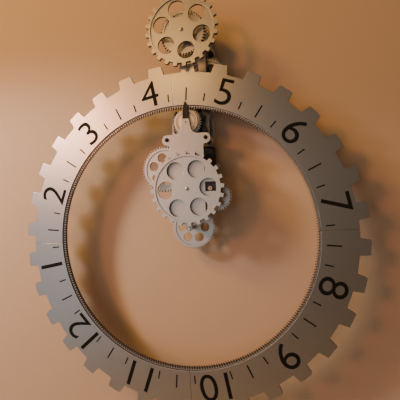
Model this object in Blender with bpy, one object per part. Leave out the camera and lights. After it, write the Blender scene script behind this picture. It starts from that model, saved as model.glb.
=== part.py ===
"""Revolving wall clock: a large toothed hour ring hangs on a small drive pinion inside it.

The wall is the plane y = 0 and the clock stands out from it towards -Y. Sizes are written in millimetres
and turned into metres when a mesh is made. Outlines are (b, h) pairs, b to the right and h up from the
drive axis, and d is the distance from the wall. Bearings are in degrees, clockwise from up.
"""
import math

import bmesh
import bpy
from mathutils import Vector
from mathutils.geometry import tessellate_polygon

MM = 0.001

# Clearances: parts that are held together, and shafts that run.
GAP = 0.3
RUN = 0.25

# How the clock hangs: the frame leans to the left, the ring hangs plumb and shows about half past four.
HANG_TILT = 4.35
RING_TURN = -0.35

# Depths from the wall, each laid on the one behind it: (back, front), with the web between for a coarse gear.
PLATE_T = 2.0
SHEET_T = 4.0
COARSE_T = (3.5, 1.6)
RING_T = 7.2
WALL_PLATE_D = (0.0, 3.0)
REAR_PLATE_BACK = 21.0
REAR_PLATE_D = (REAR_PLATE_BACK, REAR_PLATE_BACK + PLATE_T)
REAR_D = (REAR_PLATE_D[1] + 1.0, REAR_PLATE_D[1] + 1.0 + SHEET_T)
MINUTE_GEAR_D = (REAR_PLATE_D[1] + 1.4, REAR_PLATE_D[1] + 4.4)
SLEEVE_GEAR_D = (MINUTE_GEAR_D[1] + 3.6, MINUTE_GEAR_D[1] + 3.6 + SHEET_T)
MOTION_CASE_FRONT = SLEEVE_GEAR_D[1] + 7.5
FLANGE_D = (MOTION_CASE_FRONT + 0.7, MOTION_CASE_FRONT + 3.1)
DRIVE_PINION_D = (FLANGE_D[1] + 0.6, FLANGE_D[1] + 5.4)
DRIVE_SHOULDER_D = DRIVE_PINION_D[1] + 1.4
GEAR_RING_D = (DRIVE_PINION_D[0] + GAP, DRIVE_PINION_D[1] - 0.5)
PEG_TIP_D = GEAR_RING_D[0] - 0.5
RING_BACK_D = GEAR_RING_D[1] + GAP
RING_FACE_D = RING_BACK_D + RING_T
MINUTE_DISC_D = (DRIVE_SHOULDER_D + 2.6, DRIVE_SHOULDER_D + 4.1)
FRONT_PLATE_D = (RING_FACE_D + 2.5, RING_FACE_D + 2.5 + PLATE_T)
COARSE_BACK = FRONT_PLATE_D[1] + 2.5
COARSE_D = (COARSE_BACK, COARSE_BACK + COARSE_T[0], COARSE_BACK + sum(COARSE_T))
FINE_T = 5.0
LEFT_D = (FRONT_PLATE_D[0] - 3.0 - FINE_T, FRONT_PLATE_D[0] - 3.0)
RIGHT_D = (FRONT_PLATE_D[0] - 16.5, FRONT_PLATE_D[0] - 16.5 + SHEET_T)
TOP_FINE_D = (COARSE_BACK - 5.0 - FINE_T, COARSE_BACK - 5.0)

# Inner gear ring and its drive pinion, nine turns of the pinion to one of the ring.
DRIVE_MODULE = 1.29
GEAR_RING_TEETH = 324
DRIVE_TEETH = 36
GEAR_RING_R = DRIVE_MODULE * GEAR_RING_TEETH / 2
DRIVE_R = DRIVE_MODULE * DRIVE_TEETH / 2
RING_DROP = GEAR_RING_R - DRIVE_R

# Hour ring, sized outwards from the gear ring; the widths of its coarse teeth are angles.
FACE_SETBACK = 3.27
FACE_WIDTH = 53.05
RING_TOOTH = 14.7
GEAR_RING_LAP = 9.75
RING_INNER_R = GEAR_RING_R + FACE_SETBACK
RING_ROOT_R = RING_INNER_R + FACE_WIDTH
RING_TIP_R = RING_ROOT_R + RING_TOOTH
GEAR_RING_OUTER_R = RING_INNER_R + GEAR_RING_LAP
RING_TEETH = 32
RING_TOOTH_ROOT = 5.9
RING_TOOTH_TIP = 4.4
RING_WALL = 1.6
RING_SKIN = 4.0
QUARTERS = 4
QUARTER_START = -360.0 / RING_TEETH / 2
SEAM_GAP = 0.3
PEG_R = 1.5
PEG_BOSS_R = 2.9
PEG_AT_R = RING_INNER_R + RING_WALL + PEG_BOSS_R + 1.15
SEAM_PEG = 2.2

# Tooth forms, pointed teeth: height above the pitch circle and depth below it.
RING_FORM = (1.6, 1.9)
DRIVE_FORM = (0.9, 2.0)
TRAIN_FORM = (1.4, 2.0)
MOTION_FORM = (0.9, 1.3)

# Two decorative trains, each with a coarse gear in front and fine gears behind.
TRAIN_MODULE = 1.5
FINE_TEETH = 48
RIGHT_TEETH = 32
LEFT_DRIVE_TEETH = 20
RIGHT_DRIVE_TEETH = 28
BOTTOM_DRIVE_TEETH = 36
REAR_WHEEL_TEETH = 52
MOTOR_TEETH = 16
COARSE_TEETH = 24
COARSE_TIP_HALF = 2.9
COARSE_ROOT_HALF = 4.4
COARSE_WEB_R = 50.8
COARSE_ROOT_R = COARSE_WEB_R + 2.7
COARSE_TIP_R = COARSE_ROOT_R + 5.2
COARSE_HOLE_R = 13.9
COARSE_HOLE_AT = COARSE_WEB_R - 3.0 - COARSE_HOLE_R
FINE_WEB_R = TRAIN_MODULE * FINE_TEETH / 2 - TRAIN_FORM[1] - 3.0
FINE_HOLE_R = 7.6
FINE_HOLE_AT = FINE_WEB_R - 4.1 - FINE_HOLE_R
RIGHT_WEB_R = TRAIN_MODULE * RIGHT_TEETH / 2 - TRAIN_FORM[1] - 3.0
HOLES = 6
WEB_STEP = 1.3

# Motion work behind the pinion, twelve turns of the minute arbor to one of the ring.
MOTION_MODULE = 1.0
MINUTE_TEETH = 12
CROSS_IN_TEETH = 16
CROSS_OUT_TEETH = 14
MINUTE_DISC_R = 18.8
DRIVE_SHOULDER_R = 20.9

# Plates and what they carry.
EARS = ((-31.5, -28.7), (31.5, -28.7))
LOWER_PILLARS = ((-17.2, -135.2), (17.2, -135.2))
UPPER_PILLARS = ((-31.5, 16.5), (31.5, 16.5))
WALL_HOLES = ((-33.2, -4.0), (33.2, -4.0), (0.0, -142.0))
SIDES = ("left", "right")
CASE_LOBES = ((-17.3, 16.1), (20.7, 12.6), (-18.6, -9.4), (24.2, -9.4))
BOX_FRONT = REAR_D[0] - 2.5
HINGE_AT = (40.3, -69.4)
SWITCH_AT = (36.3, -109.2)
POINTER_PIN = (0.6, -1.9)
CELL_R = 7.15
CELL_BORE_R = CELL_R + 0.4
CELL_PITCH = 2 * CELL_BORE_R + 1.1
BOX_MIDDLE = -53.2
CELL_ROWS = (BOX_MIDDLE + CELL_PITCH / 2, BOX_MIDDLE - CELL_PITCH / 2)
BOX_H = (CELL_ROWS[1] - CELL_BORE_R - 0.95, CELL_ROWS[0] + CELL_BORE_R + 0.95)

# Shafts, screws and motors.
ARBOR_R = 3.0
ARBOR_TIP_R = 2.0
STUD_R = 2.0
COLLAR_R = 3.5
MINUTE_ARBOR_R = 2.4
MINUTE_ARBOR_FOOT = 8.4
SLEEVE_R = 4.6
SCREW_R = 1.2
PILLAR_PIN_R = 1.3
MOTOR_R = 9.0
MOTOR_SHAFT_R = 1.2


def polar(radius, bearing, centre=(0.0, 0.0)):
    """Point at a radius and bearing from a centre."""
    a = math.radians(bearing)
    return centre[0] + radius * math.sin(a), centre[1] + radius * math.cos(a)


def bearing_of(start, end):
    """Bearing from one point to another."""
    return math.degrees(math.atan2(end[0] - start[0], end[1] - start[1]))


# Axes of the trains, each at its exact centre distance from the gear that turns it.
LOWER_AXIS = (0.0, -108.4)
LEFT_BEARING = -48.5
RIGHT_BEARING = 107.4
MOTOR_BEARING = -45.0
LEFT_AXIS = polar(TRAIN_MODULE * (FINE_TEETH + LEFT_DRIVE_TEETH) / 2, LEFT_BEARING, LOWER_AXIS)
RIGHT_AXIS = polar(TRAIN_MODULE * (RIGHT_TEETH + RIGHT_DRIVE_TEETH) / 2, RIGHT_BEARING, LOWER_AXIS)
BOTTOM_AXIS = polar(TRAIN_MODULE * (FINE_TEETH + BOTTOM_DRIVE_TEETH) / 2, 180.0, LOWER_AXIS)
LOWER_MOTOR_AXIS = polar(TRAIN_MODULE * (MOTOR_TEETH + BOTTOM_DRIVE_TEETH) / 2, MOTOR_BEARING, LOWER_AXIS)
TOP_AXIS = (0.0, 143.3)
SIDE_BEARING = 154.05
UPPER_MOTOR_BEARING = -148.7
SIDE_AXIS = polar(TRAIN_MODULE * (FINE_TEETH + REAR_WHEEL_TEETH) / 2, SIDE_BEARING, TOP_AXIS)
UPPER_MOTOR_AXIS = polar(TRAIN_MODULE * (FINE_TEETH + MOTOR_TEETH) / 2, UPPER_MOTOR_BEARING, SIDE_AXIS)
SPINE_B = (19.2, 32.4)
SPINE_H = (SIDE_AXIS[1] + COLLAR_R + 2.7, TOP_AXIS[1] + 11.7)
BRIDGE_H = (28.0, TOP_AXIS[1] - 15.3)
BRACKET_H = (TOP_AXIS[1] - 13.3, SPINE_H[1] + 1.0)
BRACKET_PEGS = ((SPINE_B[0] + 6.6, BRACKET_H[0] + 6.0), (SPINE_B[0] + 6.6, BRACKET_H[0] + 20.0))
BRACKET_KNOB = (SPINE_B[1] + 7.7, TOP_AXIS[1] - 24.4)
CROSS_AXIS = polar(MOTION_MODULE * (MINUTE_TEETH + CROSS_IN_TEETH) / 2, 180.0)

# Colours as (red, green, blue, roughness, metallic).
SATIN = (0.66, 0.65, 0.62, 0.34, 0.9)
PALE = (0.72, 0.72, 0.70, 0.4, 0.85)
STEEL = (0.5, 0.5, 0.5, 0.3, 1.0)
DARK = (0.09, 0.09, 0.1, 0.45, 0.6)
BLACK = (0.015, 0.015, 0.016, 0.5, 0.0)
BRASS = (0.62, 0.47, 0.2, 0.35, 1.0)
CELL = (0.03, 0.1, 0.16, 0.4, 0.2)


# Outlines.

def circle(radius, count=12, centre=(0.0, 0.0)):
    """Closed round outline."""
    return [polar(radius, 360.0 * i / count, centre) for i in range(count)]


def arc(radius, start, end, steps, centre=(0.0, 0.0)):
    """Points of an arc, both ends included."""
    return [polar(radius, start + (end - start) * i / steps, centre) for i in range(steps + 1)]


def box(b0, b1, h0, h1):
    """Rectangular outline."""
    return [(b0, h0), (b1, h0), (b1, h1), (b0, h1)]


def rounded(corners, step=46.0):
    """Outline through corners (b, h, radius), each corner rounded off by its radius."""
    points = []
    for i, (b, h, radius) in enumerate(corners):
        corner = Vector((b, h))
        before = (Vector(corners[i - 1][:2]) - corner).normalized()
        after = (Vector(corners[(i + 1) % len(corners)][:2]) - corner).normalized()
        half = before.angle(after) / 2
        if radius == 0.0:
            points.append((b, h))
            continue
        centre = corner + (before + after).normalized() * (radius / math.sin(half))
        start = bearing_of(centre, corner + before * (radius / math.tan(half)))
        sweep = bearing_of(centre, corner + after * (radius / math.tan(half))) - start
        sweep = (sweep + 180.0) % 360.0 - 180.0
        steps = max(1, round(abs(sweep) / step))
        points += arc(radius, start, start + sweep, steps, centre)
    return points


def envelope(discs, count=36):
    """Outline round several discs (b, h, radius), each of which is seen from the centre."""
    points = []
    for i in range(count):
        ray = Vector(polar(1.0, 360.0 * i / count))
        reach = 0.0
        for b, h, radius in discs:
            along = ray.dot(Vector((b, h)))
            off = b * b + h * h - along * along
            if off < radius * radius:
                reach = max(reach, along + math.sqrt(radius * radius - off))
        points.append(tuple(ray * reach))
    return points


def teeth(count, pitch_r, form, turn=0.0):
    """Outline of a gear whose first tooth is at the bearing turn."""
    add, depth = form
    pitch = 360.0 / count
    points = []
    for i in range(count):
        at = turn + i * pitch
        points += [polar(pitch_r - depth, at - pitch / 2), polar(pitch_r + add, at)]
    return points


def ring_of(radius, count, turn, centre=(0.0, 0.0)):
    """Centres of holes spread evenly round a circle."""
    return [polar(radius, turn + 360.0 * i / count, centre) for i in range(count)]


def mate(turn, count, other, bearing):
    """Turn of the first tooth of a gear in mesh outside another gear, which lies at the bearing given."""
    past = (bearing - turn) * count / 360.0
    return bearing + 180.0 - 360.0 / other * (0.5 - past)


def mate_inside(turn, count, other, bearing):
    """Turn of the first tooth of a pinion in mesh inside a ring with inner teeth."""
    past = (bearing - turn) * count / 360.0
    return bearing - 360.0 / other * (past + 0.5)


# Solids.

def place(u, v, w, along):
    """Point in metres of an outline point (u, v) at w along the direction the outline is drawn out in."""
    b, h, d = {"d": (u, v, w), "b": (w, u, v), "h": (u, w, v)}[along]
    return b * MM, -d * MM, h * MM


def add_body(mesh, loops, along):
    """One closed body from loops (outline, from, to[, outline at to]); a loop inside another is a hollow."""
    ends = {}
    for near, low, high, *far in loops:
        rings = []
        for outline, w in ((near, low), (far[0] if far else near, high)):
            level = ends.setdefault(round(w, 4), {})
            key = tuple((round(u, 4), round(v, 4)) for u, v in outline)
            ring = level.pop(key, None)
            if ring is None:
                ring = [mesh.verts.new(place(u, v, w, along)) for u, v in outline]
                level[key] = ring
            rings.append(ring)
        for i in range(len(near)):
            j = (i + 1) % len(near)
            mesh.faces.new((rings[0][i], rings[0][j], rings[1][j], rings[1][i]))
    for level in ends.values():
        if not level:
            continue
        verts = [v for ring in level.values() for v in ring]
        outlines = [[Vector((u, v, 0.0)) for u, v in key] for key in level]
        for corner in tessellate_polygon(outlines):
            mesh.faces.new([verts[i] for i in corner])


def material(name, look):
    """Principled material with the base look of a piece."""
    red, green, blue, rough, metal = look
    made = bpy.data.materials.new(name)
    made.use_nodes = True
    shader = made.node_tree.nodes["Principled BSDF"]
    shader.inputs["Base Color"].default_value = (red, green, blue, 1.0)
    shader.inputs["Roughness"].default_value = rough
    shader.inputs["Metallic"].default_value = metal
    return made


def carry(thing, parent, at):
    """Hang an object from an empty, at (b, h) of it."""
    bpy.context.scene.collection.objects.link(thing)
    thing.parent = parent
    thing.location = (at[0] * MM, 0.0, at[1] * MM)


def node(name, look, parent, at, loops, along="d"):
    """Named piece, one closed body made from its loops."""
    shape = bmesh.new()
    add_body(shape, loops, along)
    bmesh.ops.recalc_face_normals(shape, faces=shape.faces)
    mesh = bpy.data.meshes.new(name)
    shape.to_mesh(mesh)
    shape.free()
    mesh.materials.append(material(name, look))
    mesh.polygons.foreach_set("use_smooth", [True] * len(mesh.polygons))
    mesh.set_sharp_from_angle(angle=math.radians(32.0))
    thing = bpy.data.objects.new(name, mesh)
    carry(thing, parent, at)
    return thing


def rod(steps, count=8, bore=None, at=(0.0, 0.0)):
    """Turned body from steps (radius, from, to), with an optional round hollow (radius, from, to)."""
    loops = [(circle(radius, count, at), low, high) for radius, low, high in steps]
    if bore:
        loops.append((circle(bore[0], count, at), bore[1], bore[2]))
    return loops


def screw(radius, head_d, tip_d, count=10):
    """Round-headed screw: a shank and a head with a chamfered rim, the head from head_d[0] to head_d[1]."""
    under, top = head_d
    rim = top - (top - under) * 0.4
    shoulder = circle(radius, count)
    return [
        (circle(SCREW_R, count), tip_d, under), (shoulder, under, rim), (shoulder, rim, top, circle(radius * 0.8, count))]


# Hour ring.

def face_outline():
    """One quarter of the face: coarse teeth outside, smooth edge inside."""
    pitch = 360.0 / RING_TEETH
    span = 360.0 / QUARTERS
    gap = math.degrees(SEAM_GAP / 2 / RING_ROOT_R)
    points = [polar(RING_ROOT_R, QUARTER_START + gap)]
    for i in range(RING_TEETH // QUARTERS):
        at = i * pitch
        root, tip = RING_TOOTH_ROOT / 2, RING_TOOTH_TIP / 2
        points += [polar(RING_ROOT_R, at - root), polar(RING_TIP_R, at - tip)]
        points += [polar(RING_TIP_R, at + tip), polar(RING_ROOT_R, at + root)]
    points.append(polar(RING_ROOT_R, QUARTER_START + span - gap))
    gap = math.degrees(SEAM_GAP / 2 / RING_INNER_R)
    return points + arc(RING_INNER_R, QUARTER_START + span - gap, QUARTER_START + gap, 18)


def build_face(ring):
    """Four face quarters, open trays with the skin in front and two pegs riveted to the gear ring."""
    span = 360.0 / QUARTERS
    side = math.degrees(RING_WALL / RING_INNER_R)
    low, high = QUARTER_START + side, QUARTER_START + span - side
    outer = arc(RING_ROOT_R - RING_WALL, low, high, 12)
    hollow = outer + arc(RING_INNER_R + RING_WALL, high, low, 12)
    skin = RING_FACE_D - RING_SKIN
    loops = [(face_outline(), RING_BACK_D, RING_FACE_D), (hollow, RING_BACK_D, skin)]
    for spot in (polar(PEG_AT_R, QUARTER_START + SEAM_PEG), polar(PEG_AT_R, QUARTER_START + span - SEAM_PEG)):
        loops += [(circle(PEG_BOSS_R, 8, spot), RING_BACK_D, skin), (circle(PEG_R, 6, spot), PEG_TIP_D, RING_BACK_D)]
    first = node("face_q1", SATIN, ring, (0, 0), loops)
    for i in range(1, QUARTERS):
        copy = bpy.data.objects.new("face_q" + str(i + 1), first.data)
        carry(copy, ring, (0, 0))
        copy.rotation_euler.y = math.radians(span * i)


def gear_ring_turn():
    """Bearing of the first inner tooth, half a pitch past the first seam of the face."""
    return QUARTER_START + 180.0 / GEAR_RING_TEETH


def build_gear_ring(ring):
    """Inner gear ring in one piece, pointed teeth inwards, with holes for the pegs of the face."""
    pitch = 360.0 / GEAR_RING_TEETH
    points = []
    for i in range(GEAR_RING_TEETH):
        at = gear_ring_turn() + i * pitch
        points += [polar(GEAR_RING_R + RING_FORM[1], at - pitch / 2), polar(GEAR_RING_R - RING_FORM[0], at)]
    loops = [(circle(GEAR_RING_OUTER_R, 56), *GEAR_RING_D), (points, *GEAR_RING_D)]
    for i in range(QUARTERS):
        seam = QUARTER_START + 360.0 / QUARTERS * i
        for at in (seam - SEAM_PEG, seam + SEAM_PEG):
            loops.append((circle(PEG_R + GAP, 6, polar(PEG_AT_R, at)), *GEAR_RING_D))
    node("gear_ring", STEEL, ring, (0, 0), loops)


# Movement and drive pinion.

def build_movement(hang):
    """Quartz movement with a threaded nose through the rear plate."""
    outline = rounded([(-28, -33, 3), (28, -33, 3), (28, 23, 3), (-28, 23, 3)], 45.0)
    bore = circle(MINUTE_ARBOR_R + RUN)
    front, nose = REAR_PLATE_D[0] - 2.4, REAR_PLATE_D[1] + 0.6
    node("movement_case", BLACK, hang, (0, 0), [
        (outline, WALL_PLATE_D[1] + GAP, front), (circle(4.5), front, nose), (bore, MINUTE_ARBOR_FOOT - 0.4, nose)])


def build_motion_case(hang):
    """Lobed black cover over the motion work, on four pegs that pass through the rear plate."""
    outer = envelope([(0, 0, 21), (*CROSS_AXIS, 12.2)] + [(*lobe, 6.5) for lobe in CASE_LOBES])
    inner = envelope([(0, 0, 18.8), (*CROSS_AXIS, 9.9)], 20)
    back, front = REAR_PLATE_D[1] + GAP, MOTION_CASE_FRONT
    floor = front - 2.2
    loops = [(outer, back, front), (inner, back, floor), (circle(SLEEVE_R + RUN, 16), floor, front)]
    loops.append((circle(1.75, 12, CROSS_AXIS), floor, floor + 1.2))
    loops += [(circle(SCREW_R, 8, lobe), REAR_PLATE_D[0] - 0.8, back) for lobe in CASE_LOBES]
    node("motion_case", BLACK, hang, (0, 0), loops)


def build_minute_arbor(hang):
    """Minute arbor with its small gear, a collar behind the sleeve, and the minute disc in front."""
    radius = MOTION_MODULE * MINUTE_TEETH / 2
    gear = teeth(MINUTE_TEETH, radius, MOTION_FORM)
    shaft, collar = circle(MINUTE_ARBOR_R), SLEEVE_GEAR_D[0] - 0.6
    node("minute_arbor", STEEL, hang, (0, 0), [
        (shaft, MINUTE_ARBOR_FOOT, MINUTE_GEAR_D[0]), (gear, *MINUTE_GEAR_D), (circle(4.0), MINUTE_GEAR_D[1], collar),
        (shaft, collar, MINUTE_DISC_D[1] + 1.5)])
    bore = circle(MINUTE_ARBOR_R + GAP)
    back, front = MINUTE_DISC_D
    hub = back - 3.4
    node("minute_disc", PALE, hang, (0, 0), [
        (circle(5.0), hub, back), (circle(MINUTE_DISC_R, 28), back, front), (bore, hub, front)])


def drive_turn():
    """Turn of the drive pinion, in mesh with the ring above it."""
    ring = gear_ring_turn() + RING_TURN + HANG_TILT
    return mate_inside(ring, GEAR_RING_TEETH, DRIVE_TEETH, HANG_TILT)


def sleeve_turn():
    """Turn of the sleeve gear, in mesh with the cross arbor below it."""
    return mate(cross_turn(), CROSS_OUT_TEETH, CROSS_OUT_TEETH, 0.0)


def cross_turn():
    """Turn of the cross arbor, in mesh with the minute arbor above it."""
    return mate(0.0, MINUTE_TEETH, CROSS_IN_TEETH, 180.0)


def build_drive(hang):
    """Drive pinion on a sleeve with its own gear, between a shoulder and a black flange that keep the ring in place."""
    radius = MOTION_MODULE * CROSS_OUT_TEETH / 2
    gear = teeth(CROSS_OUT_TEETH, radius, MOTION_FORM, sleeve_turn())
    pinion = teeth(DRIVE_TEETH, DRIVE_R, DRIVE_FORM, drive_turn())
    node("drive_pinion", STEEL, hang, (0, 0), [
        (gear, *SLEEVE_GEAR_D), (circle(SLEEVE_R, 16), SLEEVE_GEAR_D[1], DRIVE_PINION_D[0]),
        (pinion, *DRIVE_PINION_D), (circle(DRIVE_SHOULDER_R, 28), DRIVE_PINION_D[1], DRIVE_SHOULDER_D),
        (circle(7.0), DRIVE_PINION_D[1], DRIVE_SHOULDER_D),
        (circle(MINUTE_ARBOR_R + RUN), SLEEVE_GEAR_D[0], DRIVE_PINION_D[1])])
    node("rear_flange", BLACK, hang, (0, 0), [
        (circle(DRIVE_SHOULDER_R + 3.1, 24), *FLANGE_D), (circle(SLEEVE_R + GAP, 16), *FLANGE_D)])


def build_cross_arbor(hang):
    """Cross arbor with two gears and a pivot at each end."""
    low = teeth(CROSS_IN_TEETH, MOTION_MODULE * CROSS_IN_TEETH / 2, MOTION_FORM, cross_turn())
    high = teeth(CROSS_OUT_TEETH, MOTION_MODULE * CROSS_OUT_TEETH / 2, MOTION_FORM, cross_turn())
    pivot = circle(1.5, 12)
    shoulder, tip = MOTION_CASE_FRONT - 2.9, MOTION_CASE_FRONT - 1.3
    node("cross_arbor", STEEL, hang, CROSS_AXIS, [
        (pivot, REAR_PLATE_D[0] + 0.2, MINUTE_GEAR_D[0]), (low, *MINUTE_GEAR_D),
        (circle(3.0), MINUTE_GEAR_D[1], SLEEVE_GEAR_D[0]),
        (high, *SLEEVE_GEAR_D), (circle(2.5), SLEEVE_GEAR_D[1], shoulder), (pivot, shoulder, tip)])


# Plates of the frame.

def wall_plate_outline():
    """Back plate, narrow behind the spine and the lower train and wide behind the movement."""
    top, right, neck = SPINE_H[1] - 1.0, SPINE_B[1] + 1.6, BRIDGE_H[1]
    ear = SIDE_AXIS[1] + 10.1
    return rounded([
        (-9, top, 5), (right, top, 5), (right, ear + 6, 0), (42, ear, 7), (42, ear - 22, 7), (right, ear - 28, 0),
        (right, 46, 0), (38, 42, 5),
        (38, -60, 0), (45, -64, 4), (45, -76, 4), (38, -79, 0), (38, -100, 5), (24, -106, 0), (24, -158, 5),
        (7, -163, 0), (7, -178.4, 6.5), (-7, -178.4, 6.5), (-7, -163, 0), (-24, -158, 5), (-24, -106, 0),
        (-38, -100, 5), (-38, 26, 5), (-7, 27, 0), (-7, 47, 0), (10, 51, 0), (10, neck, 0), (-9, neck + 4, 0)])


def build_wall_plate(hang):
    """Wall plate with screw holes and pivot holes, and the pillars that are riveted into it."""
    loops = [(wall_plate_outline(), *WALL_PLATE_D)]
    spots = [(spot, 2.3) for spot in WALL_HOLES]
    spots += [(TOP_AXIS, ARBOR_TIP_R + RUN), (LOWER_AXIS, ARBOR_TIP_R + RUN)]
    spots += [(SIDE_AXIS, STUD_R + GAP), (BOTTOM_AXIS, STUD_R + GAP), (HINGE_AT, 1.2)]
    loops += [(circle(radius, 10, spot), *WALL_PLATE_D) for spot, radius in spots]
    top = WALL_PLATE_D[1]
    loops += [(circle(3.0, 8, spot), top, REAR_PLATE_D[0] - GAP) for spot in EARS + UPPER_PILLARS]
    shoulder, end = FRONT_PLATE_D[0] - GAP, FRONT_PLATE_D[0] + 0.9
    for spot in LOWER_PILLARS:
        loops += [(circle(2.3, 8, spot), top, shoulder), (circle(PILLAR_PIN_R, 8, spot), shoulder, end)]
    node("wall_plate", PALE, hang, (0, 0), loops)


def build_rear_plate(hang):
    """Pale plate behind the drive, on the pillars of the wall plate, and the two dark standoffs on it."""
    outline = rounded([
        (-32.5, 24, 9), (32.5, 24, 9), (32.5, -18, 0), (38.3, -21.9, 6), (38.3, -35.7, 6), (-38.3, -35.7, 6),
        (-38.3, -21.9, 6), (-32.5, -18, 0)])
    loops = [(outline, *REAR_PLATE_D), (circle(4.5 + GAP), *REAR_PLATE_D)]
    loops.append((circle(1.75, 12, CROSS_AXIS), *REAR_PLATE_D))
    loops += [(circle(SCREW_R + GAP, 8, spot), *REAR_PLATE_D) for spot in CASE_LOBES]
    node("rear_plate", PALE, hang, (0, 0), loops)
    low, high = REAR_PLATE_D[1] + GAP, FRONT_PLATE_D[0] - GAP
    bore = (SCREW_R + GAP, high - 12.2, high)
    for side, spot in zip(SIDES, EARS):
        node("ear_standoff_" + side, DARK, hang, spot, rod([(4.0, low, high)], 12, bore))


def front_plate_outline():
    """Front plate: neck in front of the drive axis, two ears, a lobe on each side and a boss below."""
    left = [(-39, -21.2, 7.3), (-17, -20.8, 2), (-10.6, -17.8, 4), (-8.3, -11.6, 0), (-6.8, -4.7, 0), (-5.7, 3.3, 1.2)]
    right = [(-b, h, radius) for b, h, radius in reversed(left)]
    right += [
        (39, -36.2, 7.3), (27.6, -38.5, 3), (27.6, -84, 3), (45, -88, 7), (52, -97, 5), (52, -131, 9),
        (40, -131, 3), (27.6, -129, 2), (27.6, -152, 7), (5, -165.5, 4), (5, -176.4, 4.8)]
    left_low = [
        (-5, -176.4, 4.8), (-5, -165.5, 4), (-15, -160, 8), (-33, -151, 11), (-33, -124.5, 6), (-26.4, -122, 2),
        (-26.4, -88, 3), (-46.3, -83, 8), (-46.3, -66.4, 8), (-27.6, -61, 3), (-27.6, -38.5, 3), (-39, -36.2, 7.3)]
    return rounded(left + right + left_low, 24.0)


def build_front_plate(hang):
    """Front plate with the switch window, the holes of its studs and screws, and blind holes for two pillars."""
    loops = [(front_plate_outline(), *FRONT_PLATE_D), (box(28.4, 45.6, -113.5, -98.6), *FRONT_PLATE_D)]
    spots = [(spot, SCREW_R + GAP) for spot in EARS]
    spots += [(axis, STUD_R + GAP) for axis in (LEFT_AXIS, RIGHT_AXIS, BOTTOM_AXIS)]
    spots += [(LOWER_AXIS, 5.0 + GAP), (POINTER_PIN, 0.9 + GAP)]
    loops += [(circle(radius, 10, spot), *FRONT_PLATE_D) for spot, radius in spots]
    loops += [(circle(PILLAR_PIN_R + GAP, 8, spot), FRONT_PLATE_D[0], FRONT_PLATE_D[0] + 1.2) for spot in LOWER_PILLARS]
    node("front_plate", SATIN, hang, (0, 0), loops)
    front = FRONT_PLATE_D[1] + GAP
    for side, spot in zip(SIDES, EARS):
        node("ear_screw_" + side, BLACK, hang, spot, screw(3.2, (front, front + 1.6), FRONT_PLATE_D[0] - 10.0))


def build_pointer(hang):
    """Black hour pointer behind the neck, riveted to it."""
    outline = [(-5.2, -7), (5.2, -7), (5.4, 3.3), (4.5, 17.2), (1.3, 31.7), (-1.3, 31.7), (-4.5, 17.2), (-5.4, 3.3)]
    back, front = FRONT_PLATE_D[0] - GAP - 1.0, FRONT_PLATE_D[0] - GAP
    pin = circle(0.9, 10, POINTER_PIN)
    node("pointer", BLACK, hang, (0, 0), [(outline, back, front), (pin, front, FRONT_PLATE_D[1] + 0.5)])


# Studs and arbors of the trains.

def build_studs(hang):
    """Fixed studs that the free gears turn on: two hang from the front plate, one joins both plates."""
    plate_back, plate_front = FRONT_PLATE_D[0] - GAP, FRONT_PLATE_D[1] + GAP
    low, high = REAR_D
    foot = [
        (STUD_R, 0.6, WALL_PLATE_D[1] + GAP), (COLLAR_R, WALL_PLATE_D[1] + GAP, low - 0.5),
        (STUD_R, low - 0.5, high + 0.5)]
    ends = [(STUD_R, plate_back, plate_front), (3.4, plate_front, plate_front + 1.4)]
    node("bottom_stud", STEEL, hang, BOTTOM_AXIS, rod(foot + [(COLLAR_R, high + 0.5, plate_back)] + ends))
    node("side_stud", STEEL, hang, SIDE_AXIS, rod(foot + [(4.2, high + 0.5, high + 2.0)]))
    for side, axis, (low, high) in zip(SIDES, (LEFT_AXIS, RIGHT_AXIS), (LEFT_D, RIGHT_D)):
        steps = [(4.2, low - 2.0, low - 0.5), (STUD_R, low - 0.5, high + 0.5), (COLLAR_R, high + 0.5, plate_back)]
        node(side + "_stud", STEEL, hang, axis, rod(steps + ends))


def build_arbor(hang, name, axis):
    """Long arbor with a pivot in the wall plate and a threaded tip in front."""
    foot, shoulder, tip = WALL_PLATE_D[1] + GAP, COARSE_D[0] - GAP, COARSE_D[1] - 0.4
    steps = [(ARBOR_TIP_R, 0.6, foot), (ARBOR_R, foot, shoulder), (ARBOR_TIP_R, shoulder, tip)]
    node(name, STEEL, hang, axis, rod(steps, 10, (1.25, COARSE_D[0], tip)))


def build_hub_screw(hang, name, axis):
    """Screw in the arbor's tip that holds the coarse gear."""
    under = COARSE_D[1] + GAP
    head = circle(3.0)
    node(name, STEEL, hang, axis, [
        (circle(0.95, 8), COARSE_D[0] + 0.5, under), (head, under, under + 0.8),
        (head, under + 0.8, under + 1.8, circle(2.0))])


# Gears of the trains.

def coarse_outline(turn):
    """Coarse gear with broad flat teeth."""
    pitch = 360.0 / COARSE_TEETH
    points = []
    for i in range(COARSE_TEETH):
        at = turn + i * pitch
        points += [polar(COARSE_ROOT_R, at - COARSE_ROOT_HALF), polar(COARSE_TIP_R, at - COARSE_TIP_HALF)]
        points += [polar(COARSE_TIP_R, at + COARSE_TIP_HALF), polar(COARSE_ROOT_R, at + COARSE_ROOT_HALF)]
    return points


def build_coarse_gear(hang, name, axis, turn, holes_turn, spacers=()):
    """Coarse gear with a thick rim, a web with six round windows, and spacer pins riveted in behind."""
    back, web, front = COARSE_D
    loops = [(coarse_outline(turn), back, front), (circle(COARSE_WEB_R, 30), web, front)]
    loops += [(circle(COARSE_HOLE_R, 12, spot), back, web) for spot in ring_of(COARSE_HOLE_AT, HOLES, holes_turn)]
    loops.append((circle(ARBOR_TIP_R + GAP), back, web))
    loops += [(circle(1.5, 8, spot), TOP_FINE_D[1] + GAP, back) for spot in spacers]
    node(name, SATIN, hang, axis, loops)


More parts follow.
